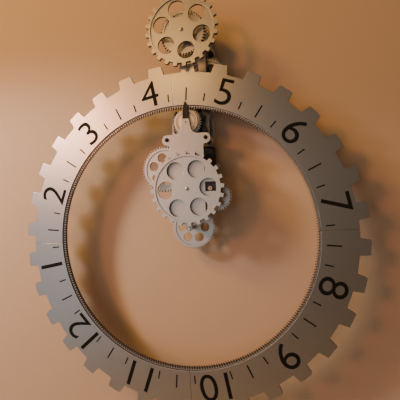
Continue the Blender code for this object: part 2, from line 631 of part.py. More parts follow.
def build_fine_gear(hang, name, axis, span, turn, holes_turn, bore):
    """Fine gear with a toothed rim and a thinner web with six round windows."""
    back, front = span
    web = front - WEB_STEP
    outline = teeth(FINE_TEETH, TRAIN_MODULE * FINE_TEETH / 2, TRAIN_FORM, turn)
    loops = [(outline, back, front), (circle(FINE_WEB_R, 24), web, front)]
    loops += [(circle(FINE_HOLE_R, 8, spot), back, web) for spot in ring_of(FINE_HOLE_AT, HOLES, holes_turn)]
    loops.append((circle(bore), back, web))
    node(name, SATIN, hang, axis, loops)


def build_pinion(hang, name, axis, count, span, turn, hub):
    """Small gear fixed on an arbor, with a hub behind or in front of it."""
    outline = teeth(count, TRAIN_MODULE * count / 2, TRAIN_FORM, turn)
    low, high = min(span[0], hub), max(span[1], hub)
    loops = [(outline, *span), (circle(ARBOR_R + GAP), low, high)]
    if hub < span[0]:
        loops.append((circle(7.0), hub, span[0]))
    else:
        loops.append((circle(7.0), span[1], hub))
    node(name, STEEL, hang, axis, loops)


def build_motor(hang, name, axis, low, high):
    """Can of a small gear motor with a hole for its shaft."""
    node(name, DARK, hang, axis, rod([(MOTOR_R, low, high)], 20, (MOTOR_SHAFT_R + RUN, high - 7.0, high)))


def build_motor_pinion(hang, name, axis, turn, tip):
    """Small gear on the motor's shaft."""
    outline = teeth(MOTOR_TEETH, TRAIN_MODULE * MOTOR_TEETH / 2, TRAIN_FORM, turn)
    node(name, BRASS, hang, axis, [
        (circle(MOTOR_SHAFT_R, 12), tip, REAR_D[0]), (outline, *REAR_D), (circle(3.0, 12), REAR_D[1], REAR_D[1] + 1.5)])


def build_lower_train(hang):
    """Lower coarse gear, the three gears that follow its arbor, and the motor that turns it."""
    build_arbor(hang, "lower_arbor", LOWER_AXIS)
    build_hub_screw(hang, "lower_hub_screw", LOWER_AXIS)
    build_coarse_gear(hang, "lower_coarse_gear", LOWER_AXIS, 12.6, 27.9)
    build_pinion(
        hang, "left_drive_pinion", LOWER_AXIS, LEFT_DRIVE_TEETH, (LEFT_D[0] + 0.5, LEFT_D[1] - 0.5), 0.0,
        FRONT_PLATE_D[0] - 1.0)
    build_pinion(hang, "right_drive_pinion", LOWER_AXIS, RIGHT_DRIVE_TEETH, RIGHT_D, 0.0, RIGHT_D[1] + 2.5)
    build_pinion(hang, "bottom_drive_wheel", LOWER_AXIS, BOTTOM_DRIVE_TEETH, REAR_D, 0.0, REAR_D[1] + 3.0)
    turn = mate(0.0, LEFT_DRIVE_TEETH, FINE_TEETH, LEFT_BEARING)
    build_fine_gear(hang, "left_gear", LEFT_AXIS, LEFT_D, turn, 47.0, STUD_R + RUN)
    turn = mate(0.0, BOTTOM_DRIVE_TEETH, FINE_TEETH, 180.0)
    build_fine_gear(hang, "bottom_gear", BOTTOM_AXIS, REAR_D, turn, 32.0, STUD_R + RUN)
    turn = mate(0.0, RIGHT_DRIVE_TEETH, RIGHT_TEETH, RIGHT_BEARING)
    outline = teeth(RIGHT_TEETH, TRAIN_MODULE * RIGHT_TEETH / 2, TRAIN_FORM, turn)
    back, front = RIGHT_D
    web = front - WEB_STEP
    loops = [(outline, back, front), (circle(RIGHT_WEB_R, 24), web, front), (circle(STUD_R + RUN), back, web)]
    loops += [(circle(4.4, 8, spot), back, web) for spot in ring_of(12.0, HOLES, 20.0)]
    node("right_gear", SATIN, hang, RIGHT_AXIS, loops)
    build_motor(hang, "lower_motor", LOWER_MOTOR_AXIS, WALL_PLATE_D[1] + 0.4, REAR_D[0] - 2.6)
    turn = mate(0.0, BOTTOM_DRIVE_TEETH, MOTOR_TEETH, MOTOR_BEARING)
    build_motor_pinion(hang, "lower_motor_pinion", LOWER_MOTOR_AXIS, turn, REAR_D[0] - 9.0)
    front = FRONT_PLATE_D[1] + GAP
    back = FRONT_PLATE_D[0] - 0.7
    node("lower_bushing", BRASS, hang, LOWER_AXIS, [
        (circle(5.0), back, front), (circle(6.8), front, front + 1.3), (circle(ARBOR_R + RUN), back, front + 1.3)])


def build_top_train(hang):
    """Top coarse gear and fine gear on one arbor, its rear wheel, the side gear and the motor."""
    build_arbor(hang, "top_arbor", TOP_AXIS)
    build_hub_screw(hang, "top_hub_screw", TOP_AXIS)
    build_coarse_gear(hang, "top_coarse_gear", TOP_AXIS, 12.0, 48.9, ring_of(9.0, 3, 10.0))
    build_fine_gear(hang, "top_fine_gear", TOP_AXIS, TOP_FINE_D, 3.0, 20.0, ARBOR_R + GAP)
    build_pinion(hang, "top_rear_wheel", TOP_AXIS, REAR_WHEEL_TEETH, REAR_D, 0.0, REAR_D[1] + 3.0)
    turn = mate(0.0, REAR_WHEEL_TEETH, FINE_TEETH, SIDE_BEARING)
    build_fine_gear(hang, "side_gear", SIDE_AXIS, REAR_D, turn, 19.0, STUD_R + RUN)
    build_motor(hang, "upper_motor", UPPER_MOTOR_AXIS, WALL_PLATE_D[1] + GAP, REAR_D[0] - 2.0)
    turn = mate(turn, FINE_TEETH, MOTOR_TEETH, UPPER_MOTOR_BEARING)
    build_motor_pinion(hang, "upper_motor_pinion", UPPER_MOTOR_AXIS, turn, REAR_D[0] - 8.0)


def build_spine(hang):
    """Dark channel on the wall plate, the bracket pegged to it, its knob, and the bridge in front of the side gear."""
    left, right = SPINE_B
    wall = 1.8
    foot, head = SPINE_H
    low, high = WALL_PLATE_D[1] + GAP, REAR_PLATE_D[0] - 1.0
    web = high - wall
    hollow = box(left + wall, right - wall, foot + wall, head - wall)
    loops = [(box(left, right, foot, head), low, high), (hollow, low, web)]
    loops += [(circle(SCREW_R + GAP, 8, spot), web, high) for spot in BRACKET_PEGS]
    node("spine_channel", DARK, hang, (0, 0), loops)
    back, front = REAR_D[1] + 2.6, REAR_D[1] + 8.0
    foot, top = BRIDGE_H
    strip, hollow = box(left, right, *BRIDGE_H), box(left + wall, right - wall, foot + 11.4, top - wall)
    node("spine_bridge", PALE, hang, (0, 0), [
        (box(left + 3.4, right - 1.4, foot + 1.0, foot + 9.4), low, back), (strip, back, front),
        (hollow, back, front - wall)])
    low, high = high + GAP, REAR_D[0] - 1.0
    (foot, crown), (b, h) = BRACKET_H, BRACKET_KNOB
    outline = rounded([
        (-12, foot, 6), (-12, crown, 6), (right, crown, 3), (b + 5.4, h + 5.1, 4.5), (b + 5.4, h - 5.4, 4.5),
        (b - 5.1, h - 5.4, 4.5), (right - 6.4, foot, 3)], 45.0)
    loops = [(outline, low, high), (circle(ARBOR_R + RUN, 16, TOP_AXIS), low, high)]
    loops += [(circle(SCREW_R, 8, spot), web - 3.2, low) for spot in BRACKET_PEGS]
    loops.append((circle(SCREW_R + GAP, 8, BRACKET_KNOB), low, high))
    node("top_bracket", PALE, hang, (0, 0), loops)
    under, top = high + GAP, high + 7.5
    head = circle(4.4)
    node("bracket_knob", BLACK, hang, BRACKET_KNOB, [
        (circle(SCREW_R, 8), low - 2.0, under), (head, under, top - 1.0), (head, top - 1.0, top, circle(3.4))])


# Battery box, its door, and the switch.

def build_battery_box(hang):
    """Box for two cells laid crosswise, the cells, and the housing of the lower motor below it."""
    low, front = WALL_PLATE_D[1] + GAP, BOX_FRONT
    depth = low + CELL_R + 1.55
    chamfer = 1.3
    foot, head = BOX_H
    body = [
        (foot, low), (head, low), (head, front - chamfer), (head - chamfer, front), (foot + chamfer, front),
        (foot, front - chamfer)]
    loops = [(body, -37.5, 37.5)]
    loops += [(circle(CELL_BORE_R, 16, (h, depth)), -16.5, 37.5) for h in CELL_ROWS]
    node("battery_box", BLACK, hang, (0, 0), loops, "b")
    for name, h in zip(("cell_upper", "cell_lower"), CELL_ROWS):
        node(name, CELL, hang, (0, h), rod([(CELL_R, -16.0, 34.0), (2.7, 34.0, 35.0)], 16, None, (0, depth)), "b")
    head = foot - 0.4
    outline = rounded([(-37.5, -97, 3), (37.5, -97, 3), (37.5, head, 0), (-37.5, head, 0)], 45.0)
    hollow = rounded([(-14, -94, 2), (34, -94, 2), (34, head - 2.8, 2), (-14, head - 2.8, 2)], 45.0)
    node("motor_housing", BLACK, hang, (0, 0), [
        (outline, low, front), (circle(MOTOR_R + GAP, 20, LOWER_MOTOR_AXIS), low, front), (hollow, low, front - 2.0)])


def build_battery_door(hang):
    """Door over the end of the box, on a pin that stands on the wall plate."""
    knuckle = arc(2.2, -30.0, 290.0, 10)
    edge = BOX_H[1] - 0.1 - HINGE_AT[1]
    outline = [(37.8 - HINGE_AT[0], edge), (39.3 - HINGE_AT[0], edge)] + knuckle
    low, high = WALL_PLATE_D[1] + 0.6, BOX_FRONT - 0.2
    head = high + GAP
    node("battery_door", BLACK, hang, HINGE_AT, [(outline, low, high), (circle(0.9 + RUN, 10), low, high)])
    node("hinge_pin", STEEL, hang, HINGE_AT, rod([(0.9, 0.6, head), (2.0, head, head + 1.0)], 10))


def build_switch(hang):
    """Switch behind the window of the front plate, with its round knob."""
    back, front = FRONT_PLATE_D[0] - 10.5, FRONT_PLATE_D[0] - GAP
    node("switch_body", BLACK, hang, (0, 0), [
        (box(27.0, 46.8, -115.3, -97.0), back, front), (circle(1.5 + RUN, 12, SWITCH_AT), back + 1.5, front)])
    knob = FRONT_PLATE_D[0] + 0.1
    shoulder, top = FRONT_PLATE_D[1] + 0.5, FRONT_PLATE_D[1] + 1.3
    rim = circle(3.7)
    node("switch_knob", DARK, hang, SWITCH_AT, [
        (circle(1.5, 12), back + 2.0, knob), (rim, knob, shoulder), (rim, shoulder, top, circle(3.1)),
        (box(-0.45, 0.45, -2.4, 2.4), shoulder, top)])


def axis_empty(name, at, turn):
    """Empty that carries a group of pieces, turned about the direction out of the wall."""
    empty = bpy.data.objects.new(name, None)
    carry(empty, None, at)
    empty.rotation_euler.y = math.radians(turn)
    return empty


for old in list(bpy.data.objects):
    bpy.data.objects.remove(old)
frame_hang = axis_empty("frame_hang", (0.0, 0.0), -HANG_TILT)
ring_hang = axis_empty("ring_hang", (0.0, -RING_DROP), RING_TURN)
build_wall_plate(frame_hang)
build_movement(frame_hang)
build_rear_plate(frame_hang)
build_motion_case(frame_hang)
build_cross_arbor(frame_hang)
build_minute_arbor(frame_hang)
build_drive(frame_hang)
build_face(ring_hang)
build_gear_ring(ring_hang)
build_front_plate(frame_hang)
build_pointer(frame_hang)
build_studs(frame_hang)
build_lower_train(frame_hang)
build_spine(frame_hang)
build_top_train(frame_hang)
build_battery_box(frame_hang)
build_battery_door(frame_hang)
build_switch(frame_hang)
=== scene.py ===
"""Looks of the revolving wall clock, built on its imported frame: metres, +Z up, the wall plane at y = 0."""

import math

import bpy
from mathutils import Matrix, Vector


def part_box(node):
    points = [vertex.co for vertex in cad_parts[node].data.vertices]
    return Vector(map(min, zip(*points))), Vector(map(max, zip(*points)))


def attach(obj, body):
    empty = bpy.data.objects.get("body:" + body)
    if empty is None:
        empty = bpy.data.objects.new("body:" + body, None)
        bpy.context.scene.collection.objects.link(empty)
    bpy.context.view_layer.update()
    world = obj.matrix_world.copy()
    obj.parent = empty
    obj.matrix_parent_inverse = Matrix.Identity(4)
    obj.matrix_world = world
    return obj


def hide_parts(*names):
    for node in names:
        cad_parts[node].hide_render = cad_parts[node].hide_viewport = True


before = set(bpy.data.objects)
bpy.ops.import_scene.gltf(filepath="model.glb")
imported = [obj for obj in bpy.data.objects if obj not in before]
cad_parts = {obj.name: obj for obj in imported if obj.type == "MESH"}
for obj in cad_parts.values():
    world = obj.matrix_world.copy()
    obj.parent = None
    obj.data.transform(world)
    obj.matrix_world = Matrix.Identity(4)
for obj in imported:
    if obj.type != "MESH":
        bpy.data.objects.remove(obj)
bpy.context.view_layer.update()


# Hour ring. Four quarters of satin silver sheet, shallow trays with broad teeth round the outside, riveted
# from behind to the inner gear ring, with a hairline seam between one quarter and the next. Sizes are in
# millimetres, and turns in degrees clockwise from up, as seen from the front.
MM = 0.001
PIVOT = (0.0, 0.0, 0.0)
ON_RADIUS = 0.02
MERGE = 0.005
SHARP_EDGE = 35
FLAT = 0.995
RING_TURN = -0.35
FACE_TEETH = 32
FACE_BORE_R = 212.25
FACE_ROOT_R = 265.3
FACE_TIP_R = 280.0
FACE_TIP_TAPER = 0.6
RIM_DEEP = 7.2
TRAY_DEEP = 3.2
TRAY_WALL = 1.6
FIRST_SEAM = -5.625
SEAM_GAP = 0.3


def axis_of(node):
    """Middle (x, z) of a round node, as seen from the front."""
    low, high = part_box(node)
    return (low[0] + high[0]) / 2 / MM, (low[2] + high[2]) / 2 / MM


def depths_of(node):
    """How far the back and the front of a node stand from the wall."""
    low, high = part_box(node)
    return round(-high[1] / MM, 3), round(-low[1] / MM, 3)


def choose(*things):
    """Select these pieces and no others, with the first one active."""
    bpy.ops.object.select_all(action="DESELECT")
    for thing in things:
        thing.select_set(True)
    bpy.context.view_layer.objects.active = things[0]


def pick(thing, kind, test):
    """Select the vertices, edges or faces of a piece whose middle passes the test, and nothing else."""
    bpy.ops.object.mode_set(mode="EDIT")
    bpy.ops.mesh.select_mode(type=kind)
    bpy.ops.mesh.select_all(action="DESELECT")
    bpy.ops.object.mode_set(mode="OBJECT")
    mesh = thing.data
    for item in {"VERT": mesh.vertices, "EDGE": mesh.edges, "FACE": mesh.polygons}[kind]:
        if kind == "VERT":
            middle = item.co
        elif kind == "FACE":
            middle = item.center
        else:
            middle = (mesh.vertices[item.vertices[0]].co + mesh.vertices[item.vertices[1]].co) / 2
        item.select = test(middle, item)
    bpy.ops.object.mode_set(mode="EDIT")


def radius_of(point):
    """Distance from the axis that a piece is drawn round."""
    return math.hypot(point.x, point.z) / MM


def near_step(point, pitch):
    """Degrees from the nearest multiple of a pitch, from minus half a pitch to half a pitch."""
    bearing = math.degrees(math.atan2(point.x, point.z))
    return (bearing + pitch / 2) % pitch - pitch / 2


def rename(name):
    """Name the piece just made and its mesh."""
    thing = bpy.context.object
    thing.name = name
    thing.data.name = name
    return thing


def bake_place():
    """Put the place, turn and size of the chosen pieces into their meshes."""
    bpy.ops.object.transform_apply(location=True, rotation=True, scale=True)


def grow(factor):
    """Scale what is selected about the axis that the piece is drawn round."""
    bpy.ops.transform.resize(value=(factor, factor, factor), center_override=PIVOT)


def turn_picked(degrees):
    """Turn what is selected about the axis."""
    bpy.ops.transform.rotate(
        value=-math.radians(degrees), orient_axis="Y", orient_type="GLOBAL", center_override=PIVOT)


def toothed_sheet(name, count, steps, radii, taper, back, front):
    """Flat toothed ring drawn from three circles, smooth rim, root and tip, with steps edges to a pitch."""
    start, root, tip = radii
    pitch = 360.0 / count
    bpy.ops.object.select_all(action="DESELECT")
    bpy.ops.mesh.primitive_circle_add(
        vertices=count * steps, radius=start * MM, fill_type="NOTHING", rotation=(math.radians(90), 0, 0))
    bake_place()
    thing = rename(name)
    bpy.ops.object.mode_set(mode="EDIT")
    bpy.ops.mesh.select_all(action="SELECT")
    bpy.ops.mesh.extrude_edges_move()
    grow(root / start)
    flat_r = root * math.cos(math.radians(pitch / steps / 2))
    pick(thing, "EDGE",
         lambda p, e: abs(radius_of(p) - flat_r) < ON_RADIUS and abs(near_step(p, pitch)) < pitch / 4)
    bpy.ops.mesh.extrude_edges_move()
    grow(tip / root)
    for side in (-1, 1):
        pick(thing, "VERT",
             lambda p, v: abs(radius_of(p) - tip) < ON_RADIUS and near_step(p, pitch) * side > pitch / 16)
        turn_picked(-side * taper)
    bpy.ops.mesh.select_all(action="SELECT")
    bpy.ops.mesh.remove_doubles(threshold=MERGE * MM)
    bpy.ops.transform.translate(value=(0, -front * MM, 0))
    bpy.ops.mesh.extrude_region_move(TRANSFORM_OT_translate={"value": (0, (front - back) * MM, 0)})
    bpy.ops.mesh.select_all(action="SELECT")
    bpy.ops.mesh.normals_make_consistent(inside=False)
    bpy.ops.object.mode_set(mode="OBJECT")
    return thing


def settle(thing, turn, axis):
    """Turn a piece about the axis that it is drawn round, and move it to its own axis (x, z)."""
    choose(thing)
    thing.rotation_euler.y = math.radians(turn)
    thing.location = (axis[0] * MM, 0.0, axis[1] * MM)
    bake_place()
    return thing


def settle_on_ring(thing, turn=0.0):
    """The same for a piece of the ring, which hangs nearly plumb."""
    return settle(thing, turn + RING_TURN, axis_of("gear_ring"))


def break_edges(thing, width, segments=2):
    """Small bevel on the sharp edges, and smooth shading on the round ones."""
    choose(thing)
    bevel = thing.modifiers.new("edge", "BEVEL")
    bevel.width = width * MM
    bevel.segments = segments
    bevel.limit_method = "ANGLE"
    bevel.angle_limit = math.radians(SHARP_EDGE)
    bpy.ops.object.modifier_apply(modifier="edge")
    bpy.ops.object.shade_smooth_by_angle(angle=math.radians(SHARP_EDGE))
    pick(thing, "FACE", lambda p, f: abs(f.normal.y) > FLAT)
    bpy.ops.mesh.faces_shade_flat()
    bpy.ops.object.mode_set(mode="OBJECT")


def grain_group():
    """Fine grain for metal and plastic: a slow blotch, a fine speckle and a height for a bump."""
    group = bpy.data.node_groups.new("surface_grain", "ShaderNodeTree")
    group.interface.new_socket(name="Scale", in_out="INPUT", socket_type="NodeSocketFloat")
    for name in ("Blotch", "Speckle", "Height"):
        group.interface.new_socket(name=name, in_out="OUTPUT", socket_type="NodeSocketFloat")
    nodes, links = group.nodes, group.links
    inputs, outputs = nodes.new("NodeGroupInput"), nodes.new("NodeGroupOutput")
    place = nodes.new("ShaderNodeTexCoord")
    blotch, speckle, fine = (nodes.new("ShaderNodeTexNoise") for _ in range(3))
    blotch.inputs["Scale"].default_value = 14.0
    blotch.inputs["Detail"].default_value = 3.0
    speckle.inputs["Detail"].default_value = 4.0
    fine.inputs["Scale"].default_value = 2600.0
    for noise in (blotch, speckle, fine):
        links.new(place.outputs["Object"], noise.inputs["Vector"])
    links.new(inputs.outputs["Scale"], speckle.inputs["Scale"])
    links.new(blotch.outputs["Fac"], outputs.inputs["Blotch"])
    links.new(speckle.outputs["Fac"], outputs.inputs["Speckle"])
    links.new(fine.outputs["Fac"], outputs.inputs["Height"])
    return group


def edge_group():
    """Mask of the edges that hands and cloths rub bare, broken up by a noise."""
    group = bpy.data.node_groups.new("edge_wear", "ShaderNodeTree")
    group.interface.new_socket(name="Width", in_out="INPUT", socket_type="NodeSocketFloat")
    group.interface.new_socket(name="Mask", in_out="OUTPUT", socket_type="NodeSocketFloat")
    nodes, links = group.nodes, group.links
    inputs, outputs = nodes.new("NodeGroupInput"), nodes.new("NodeGroupOutput")
    rounded = nodes.new("ShaderNodeBevel")
    rounded.samples = 4
    surface = nodes.new("ShaderNodeNewGeometry")
    along = nodes.new("ShaderNodeVectorMath")
    along.operation = "DOT_PRODUCT"
    edge = nodes.new("ShaderNodeMapRange")
    edge.inputs["From Min"].default_value = 0.99
    edge.inputs["From Max"].default_value = 0.8
    place = nodes.new("ShaderNodeTexCoord")
    patches = nodes.new("ShaderNodeTexNoise")
    patches.inputs["Scale"].default_value = 120.0
    patches.inputs["Detail"].default_value = 4.0
    worn = nodes.new("ShaderNodeMapRange")
    worn.inputs["From Min"].default_value = 0.35
    worn.inputs["From Max"].default_value = 0.6
    both = nodes.new("ShaderNodeMath")
    both.operation = "MULTIPLY"
    links.new(inputs.outputs["Width"], rounded.inputs["Radius"])
    links.new(rounded.outputs["Normal"], along.inputs[0])
    links.new(surface.outputs["Normal"], along.inputs[1])
    links.new(along.outputs["Value"], edge.inputs["Value"])
    links.new(place.outputs["Object"], patches.inputs["Vector"])
    links.new(patches.outputs["Fac"], worn.inputs["Value"])
    links.new(edge.outputs["Result"], both.inputs[0])
    links.new(worn.outputs["Result"], both.inputs[1])
    links.new(both.outputs[0], outputs.inputs["Mask"])
    return group


def front_group():
    """Mask of the faces that look forwards or backwards; the cut walls outside it take painted shade."""
    group = bpy.data.node_groups.new("painted_wall_shade_mask", "ShaderNodeTree")
    group.interface.new_socket(name="Mask", in_out="OUTPUT", socket_type="NodeSocketFloat")
    nodes, links = group.nodes, group.links
    outputs = nodes.new("NodeGroupOutput")
    place = nodes.new("ShaderNodeTexCoord")
    parts = nodes.new("ShaderNodeSeparateXYZ")
    size = nodes.new("ShaderNodeMath")
    size.operation = "ABSOLUTE"
    front = nodes.new("ShaderNodeMapRange")
    front.inputs["From Min"].default_value = 0.75
    front.inputs["From Max"].default_value = 0.96
    links.new(place.outputs["Normal"], parts.inputs["Vector"])
    links.new(parts.outputs["Y"], size.inputs[0])
    links.new(size.outputs[0], front.inputs["Value"])
    links.new(front.outputs["Result"], outputs.inputs["Mask"])
    return group


GRAIN = grain_group()
EDGE_WEAR = edge_group()
PAINTED_SHADE_MASK = front_group()


def finish_of(name, light, dark, rough, metal, scale, bump=0.04, spread=0.12, worn=None, rim=0.6, painted_wall_shade=1.0):
    """Material that runs between two tones, with worn edges, and painted shade darkening its cut walls."""
    blotch_share = 0.4
    worn = worn or [min(1.0, 1.25 * part + 0.02) for part in light]
    made = bpy.data.materials.new(name)
    made.use_nodes = True
    nodes, links = made.node_tree.nodes, made.node_tree.links
    shader = nodes["Principled BSDF"]
    shader.inputs["Metallic"].default_value = metal
    grain = nodes.new("ShaderNodeGroup")
    grain.node_tree = GRAIN
    grain.inputs["Scale"].default_value = scale
    tone = nodes.new("ShaderNodeMix")
    tone.data_type = "RGBA"
    tone.inputs["A"].default_value = (*dark, 1.0)
    tone.inputs["B"].default_value = (*light, 1.0)
    speckle = nodes.new("ShaderNodeMath")
    speckle.operation = "MULTIPLY"
    speckle.inputs[1].default_value = 1.0 - blotch_share
    mottle = nodes.new("ShaderNodeMath")
    mottle.operation = "MULTIPLY_ADD"
    mottle.inputs[1].default_value = blotch_share
    wear = nodes.new("ShaderNodeGroup")
    wear.node_tree = EDGE_WEAR
    wear.inputs["Width"].default_value = rim * MM
    colour = nodes.new("ShaderNodeMix")
    colour.data_type = "RGBA"
    colour.inputs["B"].default_value = (*worn, 1.0)
    gloss = nodes.new("ShaderNodeMapRange")
    gloss.inputs["From Min"].default_value = 0.3
    gloss.inputs["From Max"].default_value = 0.7
    gloss.inputs["To Min"].default_value = rough - spread / 2
    gloss.inputs["To Max"].default_value = rough + spread / 2
    dent = nodes.new("ShaderNodeBump")
    dent.inputs["Strength"].default_value = bump
    dent.inputs["Distance"].default_value = 0.4 * MM
    links.new(grain.outputs["Speckle"], speckle.inputs[0])
    links.new(grain.outputs["Blotch"], mottle.inputs[0])
    links.new(speckle.outputs[0], mottle.inputs[2])
    links.new(mottle.outputs[0], tone.inputs["Factor"])
    links.new(tone.outputs["Result"], colour.inputs["A"])
    links.new(wear.outputs["Mask"], colour.inputs["Factor"])
    # Painted shade: the sideways walls of teeth, windows and steps get a darker tone, as if in shade.
    if painted_wall_shade < 1.0:
        facing = nodes.new("ShaderNodeGroup")
        facing.node_tree = PAINTED_SHADE_MASK
        cut = nodes.new("ShaderNodeMix")
        cut.data_type = "RGBA"
        cut.inputs["A"].default_value = (*[painted_wall_shade * part for part in dark], 1.0)
        links.new(facing.outputs["Mask"], cut.inputs["Factor"])
        links.new(colour.outputs["Result"], cut.inputs["B"])
        colour = cut
    links.new(colour.outputs["Result"], shader.inputs["Base Color"])
    links.new(grain.outputs["Speckle"], gloss.inputs["Value"])
    links.new(gloss.outputs["Result"], shader.inputs["Roughness"])
    links.new(grain.outputs["Height"], dent.inputs["Height"])
    links.new(dent.outputs["Normal"], shader.inputs["Normal"])
    return made


def dress(thing, finish):
    """Give a piece its finish."""
    thing.data.materials.clear()
    thing.data.materials.append(finish)


# Satin face, with painted shade on the walls of its trays and teeth.
satin_face = finish_of(
    "satin_face", (0.6, 0.59, 0.575), (0.55, 0.54, 0.53), rough=0.36, metal=1.0, scale=900.0, bump=0.03,
    spread=0.08, rim=0.2, painted_wall_shade=0.35)
FACE_FRONT = depths_of("face_q1")[1]
quarter = toothed_sheet(
    "hour_face_1", FACE_TEETH, 8, (FACE_BORE_R, FACE_ROOT_R, FACE_TIP_R), FACE_TIP_TAPER,
    FACE_FRONT - RIM_DEEP, FACE_FRONT)
pick(quarter, "FACE", lambda p, f: f.normal.y > FLAT and radius_of(p) < FACE_ROOT_R)
bpy.ops.mesh.inset(thickness=TRAY_WALL * MM, use_even_offset=True)
bpy.ops.transform.translate(value=(0, -TRAY_DEEP * MM, 0))
for bearing, side in ((FIRST_SEAM, 1), (FIRST_SEAM + 90.0, -1)):
    lean = math.radians(bearing)
    gap = SEAM_GAP / 2 * MM * side
    bpy.ops.mesh.select_all(action="SELECT")
    bpy.ops.mesh.bisect(
        plane_co=(math.cos(lean) * gap, 0, -math.sin(lean) * gap),
        plane_no=(math.cos(lean) * side, 0, -math.sin(lean) * side), use_fill=True, clear_inner=True)
bpy.ops.object.mode_set(mode="OBJECT")
break_edges(quarter, 0.35)
dress(quarter, satin_face)
quarters = [quarter]
for i in range(1, 4):
    choose(quarter)
    bpy.ops.object.duplicate()
    quarters.append(rename(f"hour_face_{i + 1}"))
for i, piece in enumerate(quarters):
    settle_on_ring(piece, 90.0 * i)
    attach(piece, "hour_ring")
    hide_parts(f"face_q{i + 1}")


# Hour numbers and marks, printed in black on the face. A long mark stands at each half hour, two short ones
# stand a quarter hour to each side of the number, and each number has its top outwards.
PRINT_THICK = 0.3
FACE_PRINT_D = FACE_FRONT + PRINT_THICK / 2
HOUR_STEP = 30.0
MARK_FOOT_R = 219.6
HALF_MARK_TIP_R = 240.5
HALF_MARK_WIDE = 2.2
QUARTER_MARK_TIP_R = 232.0
QUARTER_MARK_WIDE = 2.0
NUMBER_FOOT_R = 218.2
NUMBER_TALL = 41.4
NUMBER_SPREAD = 1.08
LETTER_SIZE = 56.0
STROKE_OFFSET = -0.2
HOUR_AT_POINTER = 4.5
print_black = finish_of(
    "print_black", (0.012, 0.012, 0.012), (0.006, 0.006, 0.006), rough=0.75, metal=0.0, scale=700.0,
    worn=(0.02, 0.02, 0.02))
print_black.node_tree.nodes["Principled BSDF"].inputs["Specular IOR Level"].default_value = 0.15


def join_all(things, name):
    """Make several pieces one, with one name."""
    choose(*things)
    bpy.ops.object.join()
    return rename(name)


def printed_marks(name, angles, low, high, width, depth):
    """Thin bars along the radius, one drawn and the rest copied round the axis."""
    bpy.ops.object.select_all(action="DESELECT")
    bpy.ops.mesh.primitive_cube_add(size=1, location=(0, -depth * MM, (low + high) / 2 * MM))
    bpy.ops.transform.resize(value=(width * MM, PRINT_THICK * MM, (high - low) * MM))
    bake_place()
    first = rename(name)
    copies = []
    for angle in angles:
        choose(first)
        bpy.ops.object.duplicate()
        copy = bpy.context.object
        copy.rotation_euler.y = math.radians(angle)
        bake_place()
        copies.append(copy)
    bpy.data.objects.remove(first)
    return join_all(copies, name)


def span_of(mesh, axis):
    """Lowest and highest coordinate of a mesh along one axis."""
    places = [vertex.co[axis] for vertex in mesh.vertices]
    return min(places), max(places)


def printed_number(hour):
    """One number, drawn upright, scaled to its height and set on the face at its hour."""
    bpy.ops.object.select_all(action="DESELECT")
    bpy.ops.object.text_add(rotation=(math.radians(90), 0, 0))
    text = bpy.context.object.data
    text.body = str(hour)
    text.align_x = "CENTER"
    text.size = LETTER_SIZE * MM
    text.offset = STROKE_OFFSET * MM
    text.space_character = 0.95
    text.extrude = PRINT_THICK / 3 * MM
    bpy.ops.object.convert(target="MESH")
    bake_place()
    number = bpy.context.object
    left, right = span_of(number.data, 0)
    low, high = span_of(number.data, 2)
    tall = NUMBER_TALL * MM / (high - low)
    wide = NUMBER_SPREAD * tall
    number.scale = (wide, 1.0, tall)
    number.location = (-(left + right) / 2 * wide, -FACE_PRINT_D * MM, NUMBER_FOOT_R * MM - low * tall)
    bake_place()
    number.rotation_euler.y = math.radians(HOUR_STEP * (hour - HOUR_AT_POINTER))
    bake_place()
    return number


half_marks = printed_marks(
    "half_hour_marks", [HOUR_STEP * hour for hour in range(12)], MARK_FOOT_R, HALF_MARK_TIP_R, HALF_MARK_WIDE,
    FACE_PRINT_D)
quarter_marks = printed_marks(
    "quarter_hour_marks",
    [HOUR_STEP * (hour + 0.5 + side) for hour in range(12) for side in (-0.25, 0.25)],
    MARK_FOOT_R, QUARTER_MARK_TIP_R, QUARTER_MARK_WIDE, FACE_PRINT_D)
hour_numbers = join_all([printed_number(hour) for hour in range(1, 13)], "hour_numbers")
for piece in (half_marks, quarter_marks, hour_numbers):
    dress(piece, print_black)
    settle_on_ring(piece)
    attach(piece, "hour_ring")


# Inner gear ring. One piece of steel with a rim of 324 narrow teeth that point inwards, just behind the face,
# and a flange riveted to the quarters' backs; the whole ring hangs on the teeth.
RING_TEETH = 324
RING_PITCH = 360.0 / RING_TEETH
RING_RIM_R = 211.9
RING_ROOT_R = 210.88
RING_TIP_R = 207.38
RING_TIP_TAPER = 0.19
RING_TEETH_D = (49.5, 55.5)
FLANGE_R = (211.0, 222.0)
# Ring steel, with strong painted shade on its tooth walls for the dark line inside the face.
ring_steel = finish_of(
    "ring_steel", (0.64, 0.62, 0.6), (0.54, 0.52, 0.5), rough=0.36, metal=0.85, scale=600.0, rim=0.1,
    painted_wall_shade=0.2)


def cut_with(thing, tool, operation):
    """Join a second shape to a piece, or cut it out of the piece, and throw the second shape away."""
    change = thing.modifiers.new("change", "BOOLEAN")
    change.object = tool
    change.operation = operation
    change.solver = "EXACT"
    choose(thing)
    bpy.ops.object.modifier_apply(modifier="change")
    bpy.data.objects.remove(tool)


def weld(thing, other):
    """Join a second shape to a piece."""
    cut_with(thing, other, "UNION")


